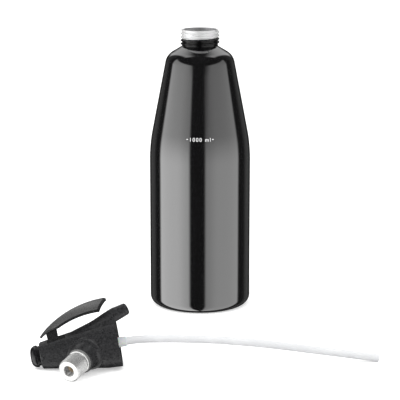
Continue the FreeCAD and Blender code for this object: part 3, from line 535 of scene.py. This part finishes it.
def bottle_profile():
    """Outside from the raised base to the rim, then inside back down: (radius, height, rounding)."""
    neck_edge = 0.5 * MM
    return [
        (0, PUNT_HEIGHT),
        (PUNT_FLOOR, PUNT_HEIGHT, 5 * MM),
        (PUNT_RADIUS, 0, WALL),
        (BODY_RADIUS, 0, BASE_ROUND),
        (BODY_RADIUS, TAPER_START, TAPER_ROUND),
        (SHOULDER_RADIUS, SHOULDER_HEIGHT, SHOULDER_ROUND),
        (NECK_RADIUS, NECK_BASE, WALL),
        (NECK_RADIUS, NECK_TOP, neck_edge),
        (NECK_BORE, NECK_TOP, neck_edge),
        (NECK_BORE, NECK_BASE - WALL / 3, 2 * WALL),
        (SHOULDER_RADIUS - WALL, SHOULDER_HEIGHT - WALL / 2, SHOULDER_ROUND - WALL),
        (BODY_RADIUS - WALL, TAPER_START, TAPER_ROUND - WALL),
        (BODY_RADIUS - WALL, WALL, BASE_ROUND - WALL),
        (PUNT_RADIUS + WALL / 2, WALL, 2 * WALL),
        (PUNT_FLOOR + WALL / 2, PUNT_HEIGHT + WALL, 3.8 * MM),
        (0, PUNT_HEIGHT + WALL),
    ]


class SIPHON_OT_bottle(bpy.types.Operator):
    """Bottle shell with its threaded neck, painted up to a turn of the thread"""
    bl_idname = "siphon.bottle"
    bl_label = "Bottle"

    def execute(self, context):
        longest_step, shortest_neck, neck_rows = 12 * MM, 5 * MM, 72
        line = rounded(bottle_profile(), 14)
        steps = np.diff(line, axis=0, append=line[:1])
        on_neck = (line[:, 1] > NECK_BASE) & (line[:, 0] > NECK_BORE + WALL)
        on_neck &= np.abs(steps[:, 1]) > shortest_neck
        rows = 1 + (np.linalg.norm(steps, axis=1) / longest_step).astype(int)
        line = divided(line, np.where(on_neck, neck_rows, rows))
        columns = settings().smoothness
        angle = circle(columns)
        radius, height = line[:, :1], line[:, 1:]
        outside = (np.abs(radius - NECK_RADIUS) < 0.1 * MM) & (height > NECK_BASE)
        reach = THREAD_START + THREAD_LENGTH - FIRST_TURN
        start = FIRST_TURN + (THREAD_START - FIRST_TURN) % THREAD_PITCH
        ridge = thread_height(angle[None, :], height, start - THREAD_PITCH, reach + THREAD_PITCH)
        radius = radius + np.where(outside, THREAD_DEPTH * ridge, 0)
        points = around(radius, angle, height)
        faces = grid_faces(len(line), columns, False, True)
        edge = PAINT_EDGE + THREAD_PITCH * angle[None, :] / TURN
        inside = np.arange(len(line))[:, None] > np.argmax(line[:, 1])
        paint, bare, drawn, neck = range(4)
        slots = np.select([inside, height > edge, height > NECK_BASE], [drawn, bare, neck], paint)
        piece = solid("bottle_shell", on_bottle(points), faces, 40, slots[:-1].reshape(-1))
        finish_piece(piece, "bottle", "bottle_finish", gloss_paint(), bare_aluminium(), drawn_aluminium(),
                     neck_paint(), replaces=["bottle"])
        return {"FINISHED"}


class SIPHON_OT_mark(bpy.types.Operator):
    """Printed fill mark: a plain volume figure between two dashes, bent round the bottle"""
    bl_idname = "siphon.mark"
    bl_label = "Fill mark"

    def execute(self, context):
        user = settings()
        curve = bpy.data.curves.new("fill_mark_text", "FONT")
        curve.body = user.mark_text
        curve.size = 1.2 * user.mark_size
        curve.offset = 0.02 * MM
        curve.space_character = 1.3
        curve.align_x = "CENTER"
        text = bpy.data.objects.new("fill_mark_text", curve)
        context.scene.collection.objects.link(text)
        context.view_layer.update()
        flat = bpy.data.meshes.new_from_object(text.evaluated_get(context.evaluated_depsgraph_get()))
        letters = np.array([vertex.co[:2] for vertex in flat.vertices])
        faces = [list(face.vertices) for face in flat.polygons]
        bpy.data.objects.remove(text)
        dash_low, dash_high = 0.38 * user.mark_size, 0.54 * user.mark_size
        dash, gap, lift = 0.8 * MM, 1.4 * MM, 0.04 * MM
        reach = letters[:, 0].max() + gap
        for side in (-1, 1):
            for share in range(2):
                near, far = (side * (reach + dash * (share + step)) for step in (0, 1))
                first = len(letters)
                corners = [(near, dash_low), (far, dash_low), (far, dash_high), (near, dash_high)]
                letters = np.vstack([letters, corners])
                faces.append([first, first + 1, first + 2, first + 3])
        height = user.mark_height - user.mark_size / 2 + letters[:, 1]
        slope = (SHOULDER_RADIUS - BODY_RADIUS) / (SHOULDER_HEIGHT - TAPER_START)
        tangent = TAPER_ROUND * math.tan(math.atan(-slope) / 2)
        above = np.maximum(height - (TAPER_START - tangent), 0)
        radius = BODY_RADIUS - (TAPER_ROUND - np.sqrt(TAPER_ROUND ** 2 - above ** 2)) + lift
        points = around(radius, letters[:, 0] / BODY_RADIUS - TURN / 4, height)
        mesh = bpy.data.meshes.new("fill_mark")
        mesh.from_pydata(on_bottle(points).tolist(), [], faces)
        piece = bpy.data.objects.new("fill_mark", mesh)
        context.scene.collection.objects.link(piece)
        finish_piece(piece, "bottle", "bottle_finish", white_print())
        return {"FINISHED"}


# Head

def barrel_radius(height):
    """Collar, then a cone to the cap's end."""
    collar = MOUTH_RADIUS + (COLLAR_RADIUS - MOUTH_RADIUS) * height / COLLAR_HEIGHT
    share = (height - COLLAR_HEIGHT) / (BARREL_TOP - COLLAR_HEIGHT)
    return np.where(height < COLLAR_HEIGHT, collar, COLLAR_RADIUS + (BARREL_RADIUS - COLLAR_RADIUS) * share)


def ridge_reach(angle, height):
    """Distance from the axis to the far side of the tilted ridge and hood: an ellipse at each level."""
    centre = SPOUT_OFFSET - height * math.tan(SPOUT_ANGLE)
    swell = smooth_step((HOOD_START - height) / HOOD_START)
    radius = RIDGE_RADIUS + (HOOD_RADIUS - RIDGE_RADIUS) * swell
    long_axis = radius / math.cos(SPOUT_ANGLE)
    quad = (np.cos(angle) / long_axis) ** 2 + (np.sin(angle) / radius) ** 2
    linear = -2 * np.cos(angle) * centre / long_axis ** 2
    rest = (centre / long_axis) ** 2 - 1
    spread = linear ** 2 - 4 * quad * rest
    reach = (-linear + np.sqrt(np.maximum(spread, 0))) / (2 * quad)
    return np.where((spread > 0) & (height < RIDGE_END), reach, 0)


def head_outline(angle, height):
    """Outer radius of the moulding: the barrel blended with the ridge."""
    blend = 0.9 * MM
    return smooth_max(barrel_radius(height), ridge_reach(angle, height), blend)


def head_shell():
    """Outline carried up the axis, with a straight pocket for the lever and the collar's thread inside."""
    edge, chamfer, thread_foot = 0.8 * MM, 0.25 * MM, 3.3 * MM
    low = np.concatenate([[0, chamfer], np.linspace(0.8 * MM, SLOT_LOW, 76)])
    pocket = np.linspace(SLOT_LOW, SLOT_HIGH, 24)
    high = np.linspace(SLOT_HIGH, BARREL_TOP - edge, 12)
    height = np.concatenate([low, pocket, high])
    in_pocket = np.repeat([False, True, False], [len(low), len(pocket), len(high)])
    across = np.linspace(-SLOT_HALF, SLOT_HALF, 17)
    level = height[:, None]
    barrel = barrel_radius(level)
    near = np.arcsin(across[None, :] / barrel)
    slot_angle = np.arcsin(SLOT_HALF / barrel)
    far = slot_angle + (TURN - 2 * slot_angle) * np.linspace(0, 1, 201)[None, :]
    angle = np.hstack([near, far])
    radius = head_outline(angle, level)
    radius[0] -= chamfer
    outer = around(radius, angle, level)
    outer[in_pocket, :len(across), 0] = SLOT_FLOOR
    outer[in_pocket, :len(across), 1] = across

    mouth_angle = angle[:1]
    wall = np.linspace(ROOF, 0, 70)[:, None]
    ridge = thread_height(mouth_angle, wall, thread_foot, THREAD_LENGTH - 1.5 * MM)
    inner = around(CAVITY_RADIUS - THREAD_DEPTH * 0.8 * ridge, mouth_angle, wall)
    roof = [around(share * CAVITY_RADIUS, mouth_angle, ROOF) for share in (0, 0.45)]
    top_radii = (BARREL_RADIUS - edge, 0.6 * BARREL_RADIUS, 0)
    top = [around(top_radius, angle[-1:], BARREL_TOP) for top_radius in top_radii]
    points = np.vstack([*roof, inner, outer, *top])
    faces = grid_faces(points.shape[0], points.shape[1], False, True)
    return solid("head_shell", on_head(points), faces, 32)


def head_boss():
    """Tube about the port's axis, whose foot swells into the barrel with a round fillet."""
    fillet, edge, foot, rows, columns = 3.2 * MM, 0.9 * MM, 9 * MM, 60, 128
    angle = circle(columns)[None, :]
    along = np.linspace(foot, BOSS_LENGTH - edge, rows)[:, None]
    radius = np.full((rows, columns), BOSS_RADIUS)
    for _ in range(3):
        local = port_to_head(around(radius, angle, along))
        polar = np.arctan2(local[..., 1], local[..., 0])
        clear = np.hypot(local[..., 0], local[..., 1]) - head_outline(polar, local[..., 2])
        share = fillet - np.clip(clear, 0, fillet)
        radius = BOSS_RADIUS + fillet - np.sqrt(np.maximum(fillet ** 2 - share ** 2, 0))
    arc = np.linspace(0, TURN / 4, 7)[1:]
    rim = [(BOSS_RADIUS - edge + edge * math.cos(a), BOSS_LENGTH - edge + edge * math.sin(a)) for a in arc]
    floor = BOSS_LENGTH - 5 * MM
    inside = [(BOSS_BORE, BOSS_LENGTH), (BOSS_BORE, floor), (0, floor)]
    rings = [around(ring_radius, angle, height) for ring_radius, height in rim + inside]
    points = np.vstack([around(0, angle, foot), around(radius, angle, along), *rings])
    return solid("head_boss", on_port(points), grid_faces(len(points), columns, False, True))


class SIPHON_OT_head(bpy.types.Operator):
    """Head moulding: collar, barrel, ridge and hood, and the boss for the port"""
    bl_idname = "siphon.head"
    bl_label = "Head"

    def execute(self, context):
        plastic = textured_plastic()
        finish_piece(head_shell(), "head", "head_plastic", plastic, replaces=["head_body"])
        finish_piece(head_boss(), "head", "head_plastic", plastic)
        return {"FINISHED"}


class SIPHON_OT_cap(bpy.types.Operator):
    """Domed gloss cap on its narrower neck"""
    bl_idname = "siphon.cap"
    bl_label = "Top cap"

    def execute(self, context):
        bore, plug, neck, brim = 4.9 * MM, 7.0 * MM, 8.2 * MM, 9.15 * MM
        foot, dome, crown = BARREL_TOP - 6 * MM, BARREL_TOP + 2.4 * MM, BARREL_TOP + 8.4 * MM
        hollow = dome + 2 * MM
        piece = lathe("top_cap_dome", [
            (bore, foot), (plug, foot), (plug, BARREL_TOP), (neck, BARREL_TOP), (neck, dome),
            (brim, dome, 0.3 * MM), (brim, crown, 5.0 * MM), (0, crown), (0, hollow), (bore, hollow),
        ], on_head, 96, 12)
        finish_piece(piece, "head", "cap_plastic", gloss_plastic(), replaces=["top_cap"])
        return {"FINISHED"}


# Lever

def blade_half_width(height):
    """Half width of the leaf at a height: narrow tail, waist, then the wide free end."""
    corners = [BLADE_TIP, BLADE_TIP + BLADE_CHEVRON, BLADE_WAIST, BLADE_TAIL]
    widths = [BLADE_HALF, BLADE_HALF, BLADE_WAIST_HALF, BLADE_TAIL_HALF]
    smoothed = [np.interp(height + shift * MM, corners, widths) for shift in (-2, -1, 0, 1, 2)]
    most_gain = 0.15 * MM
    return np.minimum(np.mean(smoothed, axis=0), np.interp(height, corners, widths) + most_gain)


def lever_blade():
    """Arched band: across it an arc of the crown's radius, along it an arc about the blade's far centre."""
    rows, across_count, edge = 90, 33, 0.5 * BLADE_THICKNESS
    # Extent of the grey painted sheen across and along the blade.
    sheen_share, sheen_start, sheen_end = 0.86, 0.02, 0.955
    share = np.linspace(-1, 1, across_count)
    turn = np.linspace(0, math.pi, 9)[1:-1]
    rim_out, rim_depth = edge * np.sin(turn), edge * np.cos(turn)
    side, none, flat = np.ones(len(turn)), np.zeros(across_count), np.full(across_count, edge)
    across = np.concatenate([share, side, share[::-1], -side])
    extra = np.concatenate([none, rim_out, none, -rim_out[::-1]])
    depth = np.concatenate([flat, rim_depth, -flat, rim_depth[::-1]])
    along = np.linspace(0, 1, rows)[:, None]
    tip = BLADE_TIP + edge + BLADE_CHEVRON * np.abs(across) ** 1.2
    height = BLADE_TAIL + along * (tip - BLADE_TAIL)
    reach = across * np.maximum(blade_half_width(height) - edge, 0.4 * MM)
    spine = (BLADE_HALF ** 2 + BLADE_DROP ** 2) / (2 * BLADE_DROP) - edge
    inset = spine - np.sqrt(spine ** 2 - reach ** 2)
    tilt = np.arcsin(reach / spine)
    y = reach + depth * np.sin(tilt) + extra * np.cos(tilt)
    radial = BLADE_ARC - edge - inset + depth * np.cos(tilt) - extra * np.sin(tilt) * np.sign(across)
    swing = np.arcsin((height - BLADE_CENTRE[1]) / BLADE_ARC)
    x, z = BLADE_CENTRE[0] + radial * np.cos(swing), BLADE_CENTRE[1] + radial * np.sin(swing)
    points = np.stack([x, y, z], -1)
    column = np.arange(len(across))
    opposite = (2 * across_count + len(turn) - 1 - column) % len(across)
    first, last = ((points[row] + points[row][opposite]) / 2 for row in (0, -1))
    points = np.vstack([first[None], points, last[None]])
    # Faces in the blade's middle take the grey painted sheen (slot 0); the rims and ends keep the lever's
    # black (slot 1).
    centre_share = np.abs(across + np.roll(across, -1)) / 2
    on_sheen = (column < across_count - 1) & (centre_share < sheen_share)
    row_share = np.arange(len(points) - 1)[:, None] / rows
    slots = 1 - (on_sheen & (row_share > sheen_start) & (row_share < sheen_end))
    faces = grid_faces(len(points), len(across), False, True)
    return solid("lever_blade", on_head(points), faces, 50, slots.reshape(-1))


def extruded(name, outline, low, high, bevel):
    """Head-frame outline of (x, z) carried across from low to high, with its rims drawn in by a bevel."""
    outline = np.array(outline)
    centre = outline.mean(axis=0)
    rays = outline - centre
    inset = centre + rays * (1 - bevel / np.linalg.norm(rays, axis=1, keepdims=True))
    middle = centre + 0 * rays
    rings = ((middle, low), (inset, low), (outline, low + bevel),
             (outline, high - bevel), (inset, high), (middle, high))
    points = np.array([np.insert(ring, 1, y, axis=1) for ring, y in rings])
    return solid(name, on_head(points), grid_faces(len(rings), len(outline), False, True), 40)


def blade_reach(height, radius):
    """Distance from the stem's axis to the blade's arc of a radius, at a height."""
    return math.sqrt(radius ** 2 - (height - BLADE_CENTRE[1]) ** 2) + BLADE_CENTRE[0]


class SIPHON_OT_lever(bpy.types.Operator):
    """Lever: arched leaf-shaped blade, its post and hub, and the forked toe that lifts the stem"""
    bl_idname = "siphon.lever"
    bl_label = "Lever"

    def execute(self, context):
        rim = lever_rim()
        # The blade's face gets the grey painted sheen, its rims the lever's own black.
        finish_piece(lever_blade(), "lever", "lever_finish", lever_painted_sheen(), rim, replaces=["lever"])
        lead, tail = PIVOT_HEIGHT - 5.3 * MM, PIVOT_HEIGHT + 3.7 * MM
        skin = BLADE_ARC - 0.75 * BLADE_THICKNESS
        post = rounded([
            (PIVOT_OFFSET, PIVOT_HEIGHT - HUB_RADIUS, 1 * MM),
            (PIVOT_OFFSET + 3.7 * MM, lead, 2 * MM),
            (blade_reach(lead, skin), lead),
            (blade_reach(tail, skin), tail),
            (PIVOT_OFFSET, PIVOT_HEIGHT + HUB_RADIUS, 2 * MM),
        ], 6)
        hub = np.array([PIVOT_OFFSET, PIVOT_HEIGHT]) + around(HUB_RADIUS, circle(40), 0)[:, :2]
        nose, gap, root = 1.2 * MM, 2.35 * MM, PIVOT_OFFSET - 1 * MM
        arc = np.linspace(TURN / 4, 3 * TURN / 4, 13)
        toe = [(nose * math.cos(a), PIVOT_HEIGHT + nose * math.sin(a)) for a in arc]
        toe += [(root, PIVOT_HEIGHT - nose), (root, PIVOT_HEIGHT + nose)]
        shapes = {
            "lever_post": (post, -POST_HALF, POST_HALF, 0.45 * MM),
            "lever_hub": (hub, -POST_HALF, POST_HALF, 0.3 * MM),
            "lever_toe_left": (toe, -POST_HALF, -gap, 0.15 * MM),
            "lever_toe_right": (toe, gap, POST_HALF, 0.15 * MM),
        }
        for name, shape in shapes.items():
            finish_piece(extruded(name, *shape), "lever", "lever_finish", rim)
        return {"FINISHED"}


# Spout

class SIPHON_OT_spout(bpy.types.Operator):
    """Spout: tapered nozzle with a rounded tip and an open bore, cut flush with the mouth plane"""
    bl_idname = "siphon.spout"
    bl_label = "Spout"

    def execute(self, context):
        root, tip, bore = 5.8 * MM, 4.9 * MM, 2.6 * MM
        foot, length = 2 * MM, 12.2 * MM
        line = rounded([(root, foot), (tip, length, 1.8 * MM), (bore, length, 0.5 * MM), (bore, foot)], 10)
        angle = circle(96)
        radius, level = line[:, :1], line[:, 1:]
        mouth = -radius * np.cos(angle) * math.tan(SPOUT_ANGLE)
        level = level + (1 - (level - foot) / (length - foot)) * (mouth - foot)
        faces = grid_faces(len(line), len(angle), True, True)
        piece = solid("spout_nozzle", on_spout(around(radius, angle, level)), faces)
        finish_piece(piece, "head", "head_plastic", textured_plastic(), replaces=["spout_tube"])
        plug, plug_foot, plug_top = 4.2 * MM, -7 * MM, -1.6 * MM
        spigot = lathe("spout_spigot", [
            (bore, plug_foot), (plug, plug_foot), (plug, plug_top), (bore, plug_top),
        ], on_spout, 64)
        finish_piece(spigot, "head", "head_plastic", gloss_plastic())
        return {"FINISHED"}


# Charger port

class SIPHON_OT_port(bpy.types.Operator):
    """Charger port: threaded bright stub and its washer"""
    bl_idname = "siphon.port"
    bl_label = "Charger port"

    def execute(self, context):
        foot = BOSS_LENGTH + WASHER_HEIGHT
        end, plug, plug_foot = foot + PORT_LENGTH, 7.3 * MM, foot - 5 * MM
        socket, floor, edge, lip = 4.4 * MM, end - 15 * MM, 1.0 * MM, 0.5 * MM
        line = rounded([
            (plug, plug_foot), (plug, foot), (PORT_RADIUS, foot, 0.2 * MM),
            (PORT_RADIUS, end - edge), (PORT_RADIUS - edge, end), (socket + lip, end),
            (socket, end - lip), (socket, floor), (0, floor), (0, plug_foot),
        ], 4)
        rise = np.diff(line[:, 1], append=line[0, 1])
        on_side = (line[:, 0] > PORT_RADIUS - 0.3 * MM) & (rise > 10 * MM)
        thread_rows, pitch, depth, flat, thread_foot = 90, 2.0 * MM, 0.8 * MM, 0.3 * MM, 1.8 * MM
        line = divided(line, np.where(on_side, thread_rows, 1))
        angle = circle(144)
        radius, level = line[:, :1], line[:, 1:]
        on_thread = (radius > PORT_RADIUS - 0.05 * MM) & (level > foot + 1.2 * MM) & (level < end - edge)
        start, length = foot + 2.2 * MM, PORT_LENGTH - 3.4 * MM
        ridge = thread_height(angle, level, start, length, pitch, flat, thread_foot)
        radius = radius - np.where(on_thread, depth * (1 - ridge), 0)
        faces = grid_faces(len(line), len(angle), True, True)
        piece = solid("charger_port_stub", on_port(around(radius, angle, level)), faces, 40)
        finish_piece(piece, "head", "plated_metal", plated_metal(), replaces=["charger_port"])
        inner, outer, rounding = 7.35 * MM, 10.4 * MM, 0.25 * MM
        washer = lathe("port_washer_ring", [
            (inner, BOSS_LENGTH), (outer, BOSS_LENGTH, rounding), (outer, foot, rounding), (inner, foot),
        ], on_port, 96, 4)
        finish_piece(washer, "head", "washer_grey", washer_grey(), replaces=["port_washer"])
        return {"FINISHED"}


# Dip tube

def tube_path():
    """Centre line: out of the nut, an elbow to level, a long bow down, then straight to the floor."""
    tilt = math.asin(-STEM_AXIS[2])
    heading = tilt
    here = HEAD_ORIGIN + TUBE_SEAT * STEM_AXIS
    forward = np.array([-STEM_AXIS[0], -STEM_AXIS[1], 0])
    forward /= np.linalg.norm(forward)
    crest = HEAD_ORIGIN[2] + SLEEVE_REACH * math.sin(tilt) + TUBE_ELBOW * (1 - math.cos(tilt))
    run = TUBE_REACH - SLEEVE_REACH - TUBE_ELBOW * tilt - TUBE_BOW
    droop = (crest - TUBE_RADIUS) / (TUBE_BOW / 2 + run)
    points, headings = [here], [heading]
    spans = (
        (TUBE_SEAT + SLEEVE_REACH, 0, 4),
        (TUBE_ELBOW * tilt, tilt, 12),
        (TUBE_BOW, droop, 40),
        (run, 0, 12),
    )
    for length, turn, steps in spans:
        for _ in range(steps):
            heading -= turn / steps / 2
            pointing = forward * math.cos(heading) + np.array([0, 0, math.sin(heading)])
            here = here + pointing * length / steps
            heading -= turn / steps / 2
            points.append(here)
            headings.append(heading)
    return np.array(points), np.array(headings), forward


class SIPHON_OT_dip_tube(bpy.types.Operator):
    """Dip tube: pipe carried along its bent centre line, and the white nut that holds it"""
    bl_idname = "siphon.dip_tube"
    bl_label = "Dip tube"

    def execute(self, context):
        points, headings, forward = tube_path()
        up = np.outer(np.cos(headings), [0, 0, 1]) - np.outer(np.sin(headings), forward)
        side = np.cross(forward, [0, 0, 1])
        angle = circle(48)[:, None]
        outwards = np.cos(angle) * up[:, None] + np.sin(angle) * side
        outside, inside = (points[:, None] + radius * outwards for radius in (TUBE_RADIUS, TUBE_BORE))
        surface = np.vstack([outside, inside[::-1]])
        tube = solid("dip_tube_pipe", surface, grid_faces(len(surface), len(angle), True, True))
        finish_piece(tube, "head", "tube_plastic", milky_tube(), replaces=["dip_tube"])
        grip, sleeve, rim = TUBE_RADIUS + 0.05 * MM, 4.2 * MM, 7.5 * MM
        flange, seat = ROOF - 4 * MM, ROOF - 0.05 * MM
        nut = lathe("tube_nut_turned", [
            (grip, -SLEEVE_REACH), (sleeve, -SLEEVE_REACH, 0.35 * MM), (sleeve, flange, 0.3 * MM),
            (rim, flange, 0.5 * MM), (rim, seat), (grip, seat),
        ], on_head, 72)
        finish_piece(nut, "head", "nut_plastic", white_nut(), replaces=["tube_nut"])
        return {"FINISHED"}


class SIPHON_OT_works(bpy.types.Operator):
    """Finishes for the pieces inside the head, which keep their own shapes"""
    bl_idname = "siphon.works"
    bl_label = "Inner works"

    def execute(self, context):
        finishes = {
            steel(): ("valve_stem", "valve_spring", "needle"),
            blackened_steel(): ("lever_pin",),
            brass(): ("valve_seat", "stem_guide", "gas_filter", "needle_holder"),
            rubber(): ("neck_gasket", "seat_gasket", "stem_washer", "stem_seal", "cap_ring", "spout_ring",
                       "port_ring", "check_sleeve"),
            amber_seal(): ("charger_seal",),
        }
        for material, names in finishes.items():
            for name in names:
                node = frame["nodes"][name]
                node.data.materials.clear()
                node.data.materials.append(material)
                node.visible_glossy = False
        return {"FINISHED"}


# Stage

def world_light(user):
    """White to the camera; on dull surfaces a sky that brightens upwards; in reflections two tall panels
    beside the camera, two faint ones and an arch behind, and a dim rest."""
    world = bpy.data.worlds.new("studio")
    bpy.context.scene.world = world
    world.use_nodes = True
    nodes, links = world.node_tree.nodes, world.node_tree.links
    nodes.clear()
    output = nodes.new("ShaderNodeOutputWorld")
    direction = nodes.new("ShaderNodeTexCoord").outputs["Generated"]
    split = nodes.new("ShaderNodeSeparateXYZ")
    links.new(direction, split.inputs["Vector"])

    def calculate(operation, first, second=None, third=None):
        node = nodes.new("ShaderNodeMath")
        node.operation = operation
        for socket, source in zip(node.inputs, (first, second, third)):
            if source is None:
                continue
            if isinstance(source, (int, float)):
                socket.default_value = source
            else:
                links.new(source, socket)
        return node.outputs["Value"]

    def ramp(source, low, high):
        """0 below low, 1 above high, eased between."""
        node = nodes.new("ShaderNodeMapRange")
        node.interpolation_type = "SMOOTHSTEP"
        node.inputs["From Min"].default_value = low
        node.inputs["From Max"].default_value = high
        links.new(source, node.inputs["Value"])
        return node.outputs["Result"]

    def rest(source):
        """What a share leaves of 1."""
        return calculate("SUBTRACT", 1.0, source)

    def joined(operation, first, *others):
        """Sources taken together one after another."""
        for other in others:
            first = calculate(operation, first, other)
        return first

    # Azimuths are in degrees, 0 towards the camera and 90 to its right. Rise is the share of straight up.
    azimuth = calculate("ARCTAN2", split.outputs["X"], calculate("MULTIPLY", split.outputs["Y"], -1.0))
    degrees = calculate("MULTIPLY", azimuth, 180 / math.pi)
    rise = split.outputs["Z"]

    def panel(strength, start, end, start_soft=8, end_soft=8):
        """Upright panel of light between two azimuths, with soft sides."""
        opened = ramp(degrees, start - start_soft, start + start_soft)
        closed = ramp(degrees, end - end_soft, end + end_soft)
        return joined("MULTIPLY", opened, rest(closed), strength)

    sides = joined("ADD",
                   panel(user.left_panel, start=-103, end=-24, start_soft=4, end_soft=4),
                   panel(user.left_panel / 3, start=-103, end=-40, start_soft=4, end_soft=16),
                   panel(user.right_panel, start=12, end=98, start_soft=4, end_soft=4),
                   panel(user.right_panel / 3, start=28, end=98, start_soft=16, end_soft=4),
                   panel(user.back_panels, start=-150, end=-125),
                   panel(user.back_panels, start=125, end=150))
    front_top, top_slope, upper_loss = 0.12, 0.0042, 0.55
    edge = calculate("MULTIPLY_ADD", calculate("ABSOLUTE", degrees), top_slope, front_top)
    below_edge = rest(ramp(calculate("SUBTRACT", rise, edge), -0.03, 0.1))
    upper_fade = rest(calculate("MULTIPLY", ramp(rise, -0.2, 0.3), upper_loss))
    walls = joined("MULTIPLY", sides, below_edge, upper_fade)
    across = calculate("ABSOLUTE", split.outputs["X"])
    arch = joined("MULTIPLY", ramp(across, 0.1, 0.4), rest(ramp(across, 0.44, 0.56)),
                  ramp(split.outputs["Y"], -0.05, 0.1), ramp(rise, 0.15, 0.4), user.rear_arch)
    dim_rest = 0.024
    reflected = joined("ADD", walls, arch, dim_rest)

    sky_low, sky_gain = 0.12 * user.ambient, 1.75 * user.ambient
    sky = calculate("MULTIPLY_ADD", ramp(rise, -0.3, 1.0), sky_gain, sky_low)
    path = nodes.new("ShaderNodeLightPath")
    glossy = path.outputs["Is Glossy Ray"]
    shiny, plain = calculate("MULTIPLY", glossy, reflected), calculate("MULTIPLY", rest(glossy), sky)
    seen = calculate("MAXIMUM", path.outputs["Is Camera Ray"], path.outputs["Is Transmission Ray"])
    strength = calculate("MAXIMUM", calculate("ADD", shiny, plain), seen)
    background = nodes.new("ShaderNodeBackground")
    background.inputs["Color"].default_value = (1, 1, 1, 1)
    links.new(strength, background.inputs["Strength"])
    links.new(background.outputs["Background"], output.inputs["Surface"])


def soft_lamp(name, place, power):
    """Square lamp, turned towards the front of the bottle's foot and kept out of reflections."""
    lamp = bpy.data.lights.new(name, "AREA")
    lamp.size = 0.9
    lamp.energy = power
    holder = bpy.data.objects.new(name, lamp)
    bpy.context.scene.collection.objects.link(holder)
    holder.location = BOTTLE_PLACE + place
    x, y, z = np.array([0, -0.1, 0.1]) - place
    holder.rotation_euler = (math.atan2(math.hypot(x, y), -z), 0, math.atan2(-x, y))
    holder.visible_glossy = False


class SIPHON_OT_stage(bpy.types.Operator):
    """Pale floor, even studio light and the camera at the photograph's angle"""
    bl_idname = "siphon.stage"
    bl_label = "Stage"

    def execute(self, context):
        user, scene = settings(), context.scene
        camera = bpy.data.cameras.new("camera")
        place, pitch = (0, -1.532, 0.4276), math.radians(12.1)
        camera.lens, camera.sensor_width = 149.4, 36.0
        camera.clip_end = 20
        view = bpy.data.objects.new("camera", camera)
        scene.collection.objects.link(view)
        view.location = BOTTLE_PLACE + place
        view.rotation_euler = (TURN / 4 - pitch, 0, 0)
        scene.camera = view

        finish = Finish("pale_floor")
        colour = tuple(user.floor_colour)
        finish.tint(finish.noise(3, 2), tuple(0.98 * level for level in colour), colour)
        finish.rough(finish.noise(20, 2), 0.85, 0.95)
        glow_level, half = 0.4, 4.0
        glow = finish.nodes.new("ShaderNodeEmission")
        path = finish.nodes.new("ShaderNodeLightPath")
        finish.links.new(path.outputs["Is Camera Ray"], glow.inputs["Strength"])
        glow.inputs["Color"].default_value = (glow_level, glow_level, glow_level, 1)
        both = finish.nodes.new("ShaderNodeAddShader")
        finish.links.new(finish.shader.outputs["BSDF"], both.inputs[0])
        finish.links.new(glow.outputs["Emission"], both.inputs[1])
        finish.links.new(both.outputs["Shader"], finish.nodes["Material Output"].inputs["Surface"])
        corners = np.array([[-half, -half, 0], [half, -half, 0], [half, half, 0], [-half, half, 0]])
        floor = solid("floor", corners, np.array([[0, 1, 2, 3]]))
        floor.data.materials.append(finish.material)
        floor.visible_glossy = False

        soft_lamp("key_lamp", (-0.9, -0.9, 1.3), 14)
        soft_lamp("fill_lamp", (1.1, -0.7, 1.0), 6)
        world_light(user)
        scene.view_settings.view_transform = "Standard"
        return {"FINISHED"}


OPERATORS = (
    SIPHON_OT_bottle, SIPHON_OT_mark, SIPHON_OT_head, SIPHON_OT_cap, SIPHON_OT_lever, SIPHON_OT_spout,
    SIPHON_OT_port, SIPHON_OT_dip_tube, SIPHON_OT_works, SIPHON_OT_stage,
)


class SIPHON_PT_panel(bpy.types.Panel):
    """Lists the siphon's pieces and settings"""
    bl_idname = "SIPHON_PT_panel"
    bl_label = "Soda siphon"
    bl_space_type = "VIEW_3D"
    bl_region_type = "UI"
    bl_category = "Siphon"

    def draw(self, context):
        for name in SiphonSettings.__annotations__:
            self.layout.prop(context.scene.siphon, name)
        for operator in OPERATORS:
            self.layout.operator(operator.bl_idname)


CLASSES = (SiphonSettings, *OPERATORS, SIPHON_PT_panel)


def register():
    for item in CLASSES:
        bpy.utils.register_class(item)
    bpy.types.Scene.siphon = bpy.props.PointerProperty(type=SiphonSettings)


def unregister():
    del bpy.types.Scene.siphon
    for item in reversed(CLASSES):
        bpy.utils.unregister_class(item)


def main():
    register()
    bpy.ops.siphon.stage()
    bpy.ops.siphon.bottle()
    bpy.ops.siphon.mark()
    bpy.ops.siphon.head()
    bpy.ops.siphon.cap()
    bpy.ops.siphon.lever()
    bpy.ops.siphon.spout()
    bpy.ops.siphon.port()
    bpy.ops.siphon.dip_tube()
    bpy.ops.siphon.works()


if __name__ == "__main__":
    main()
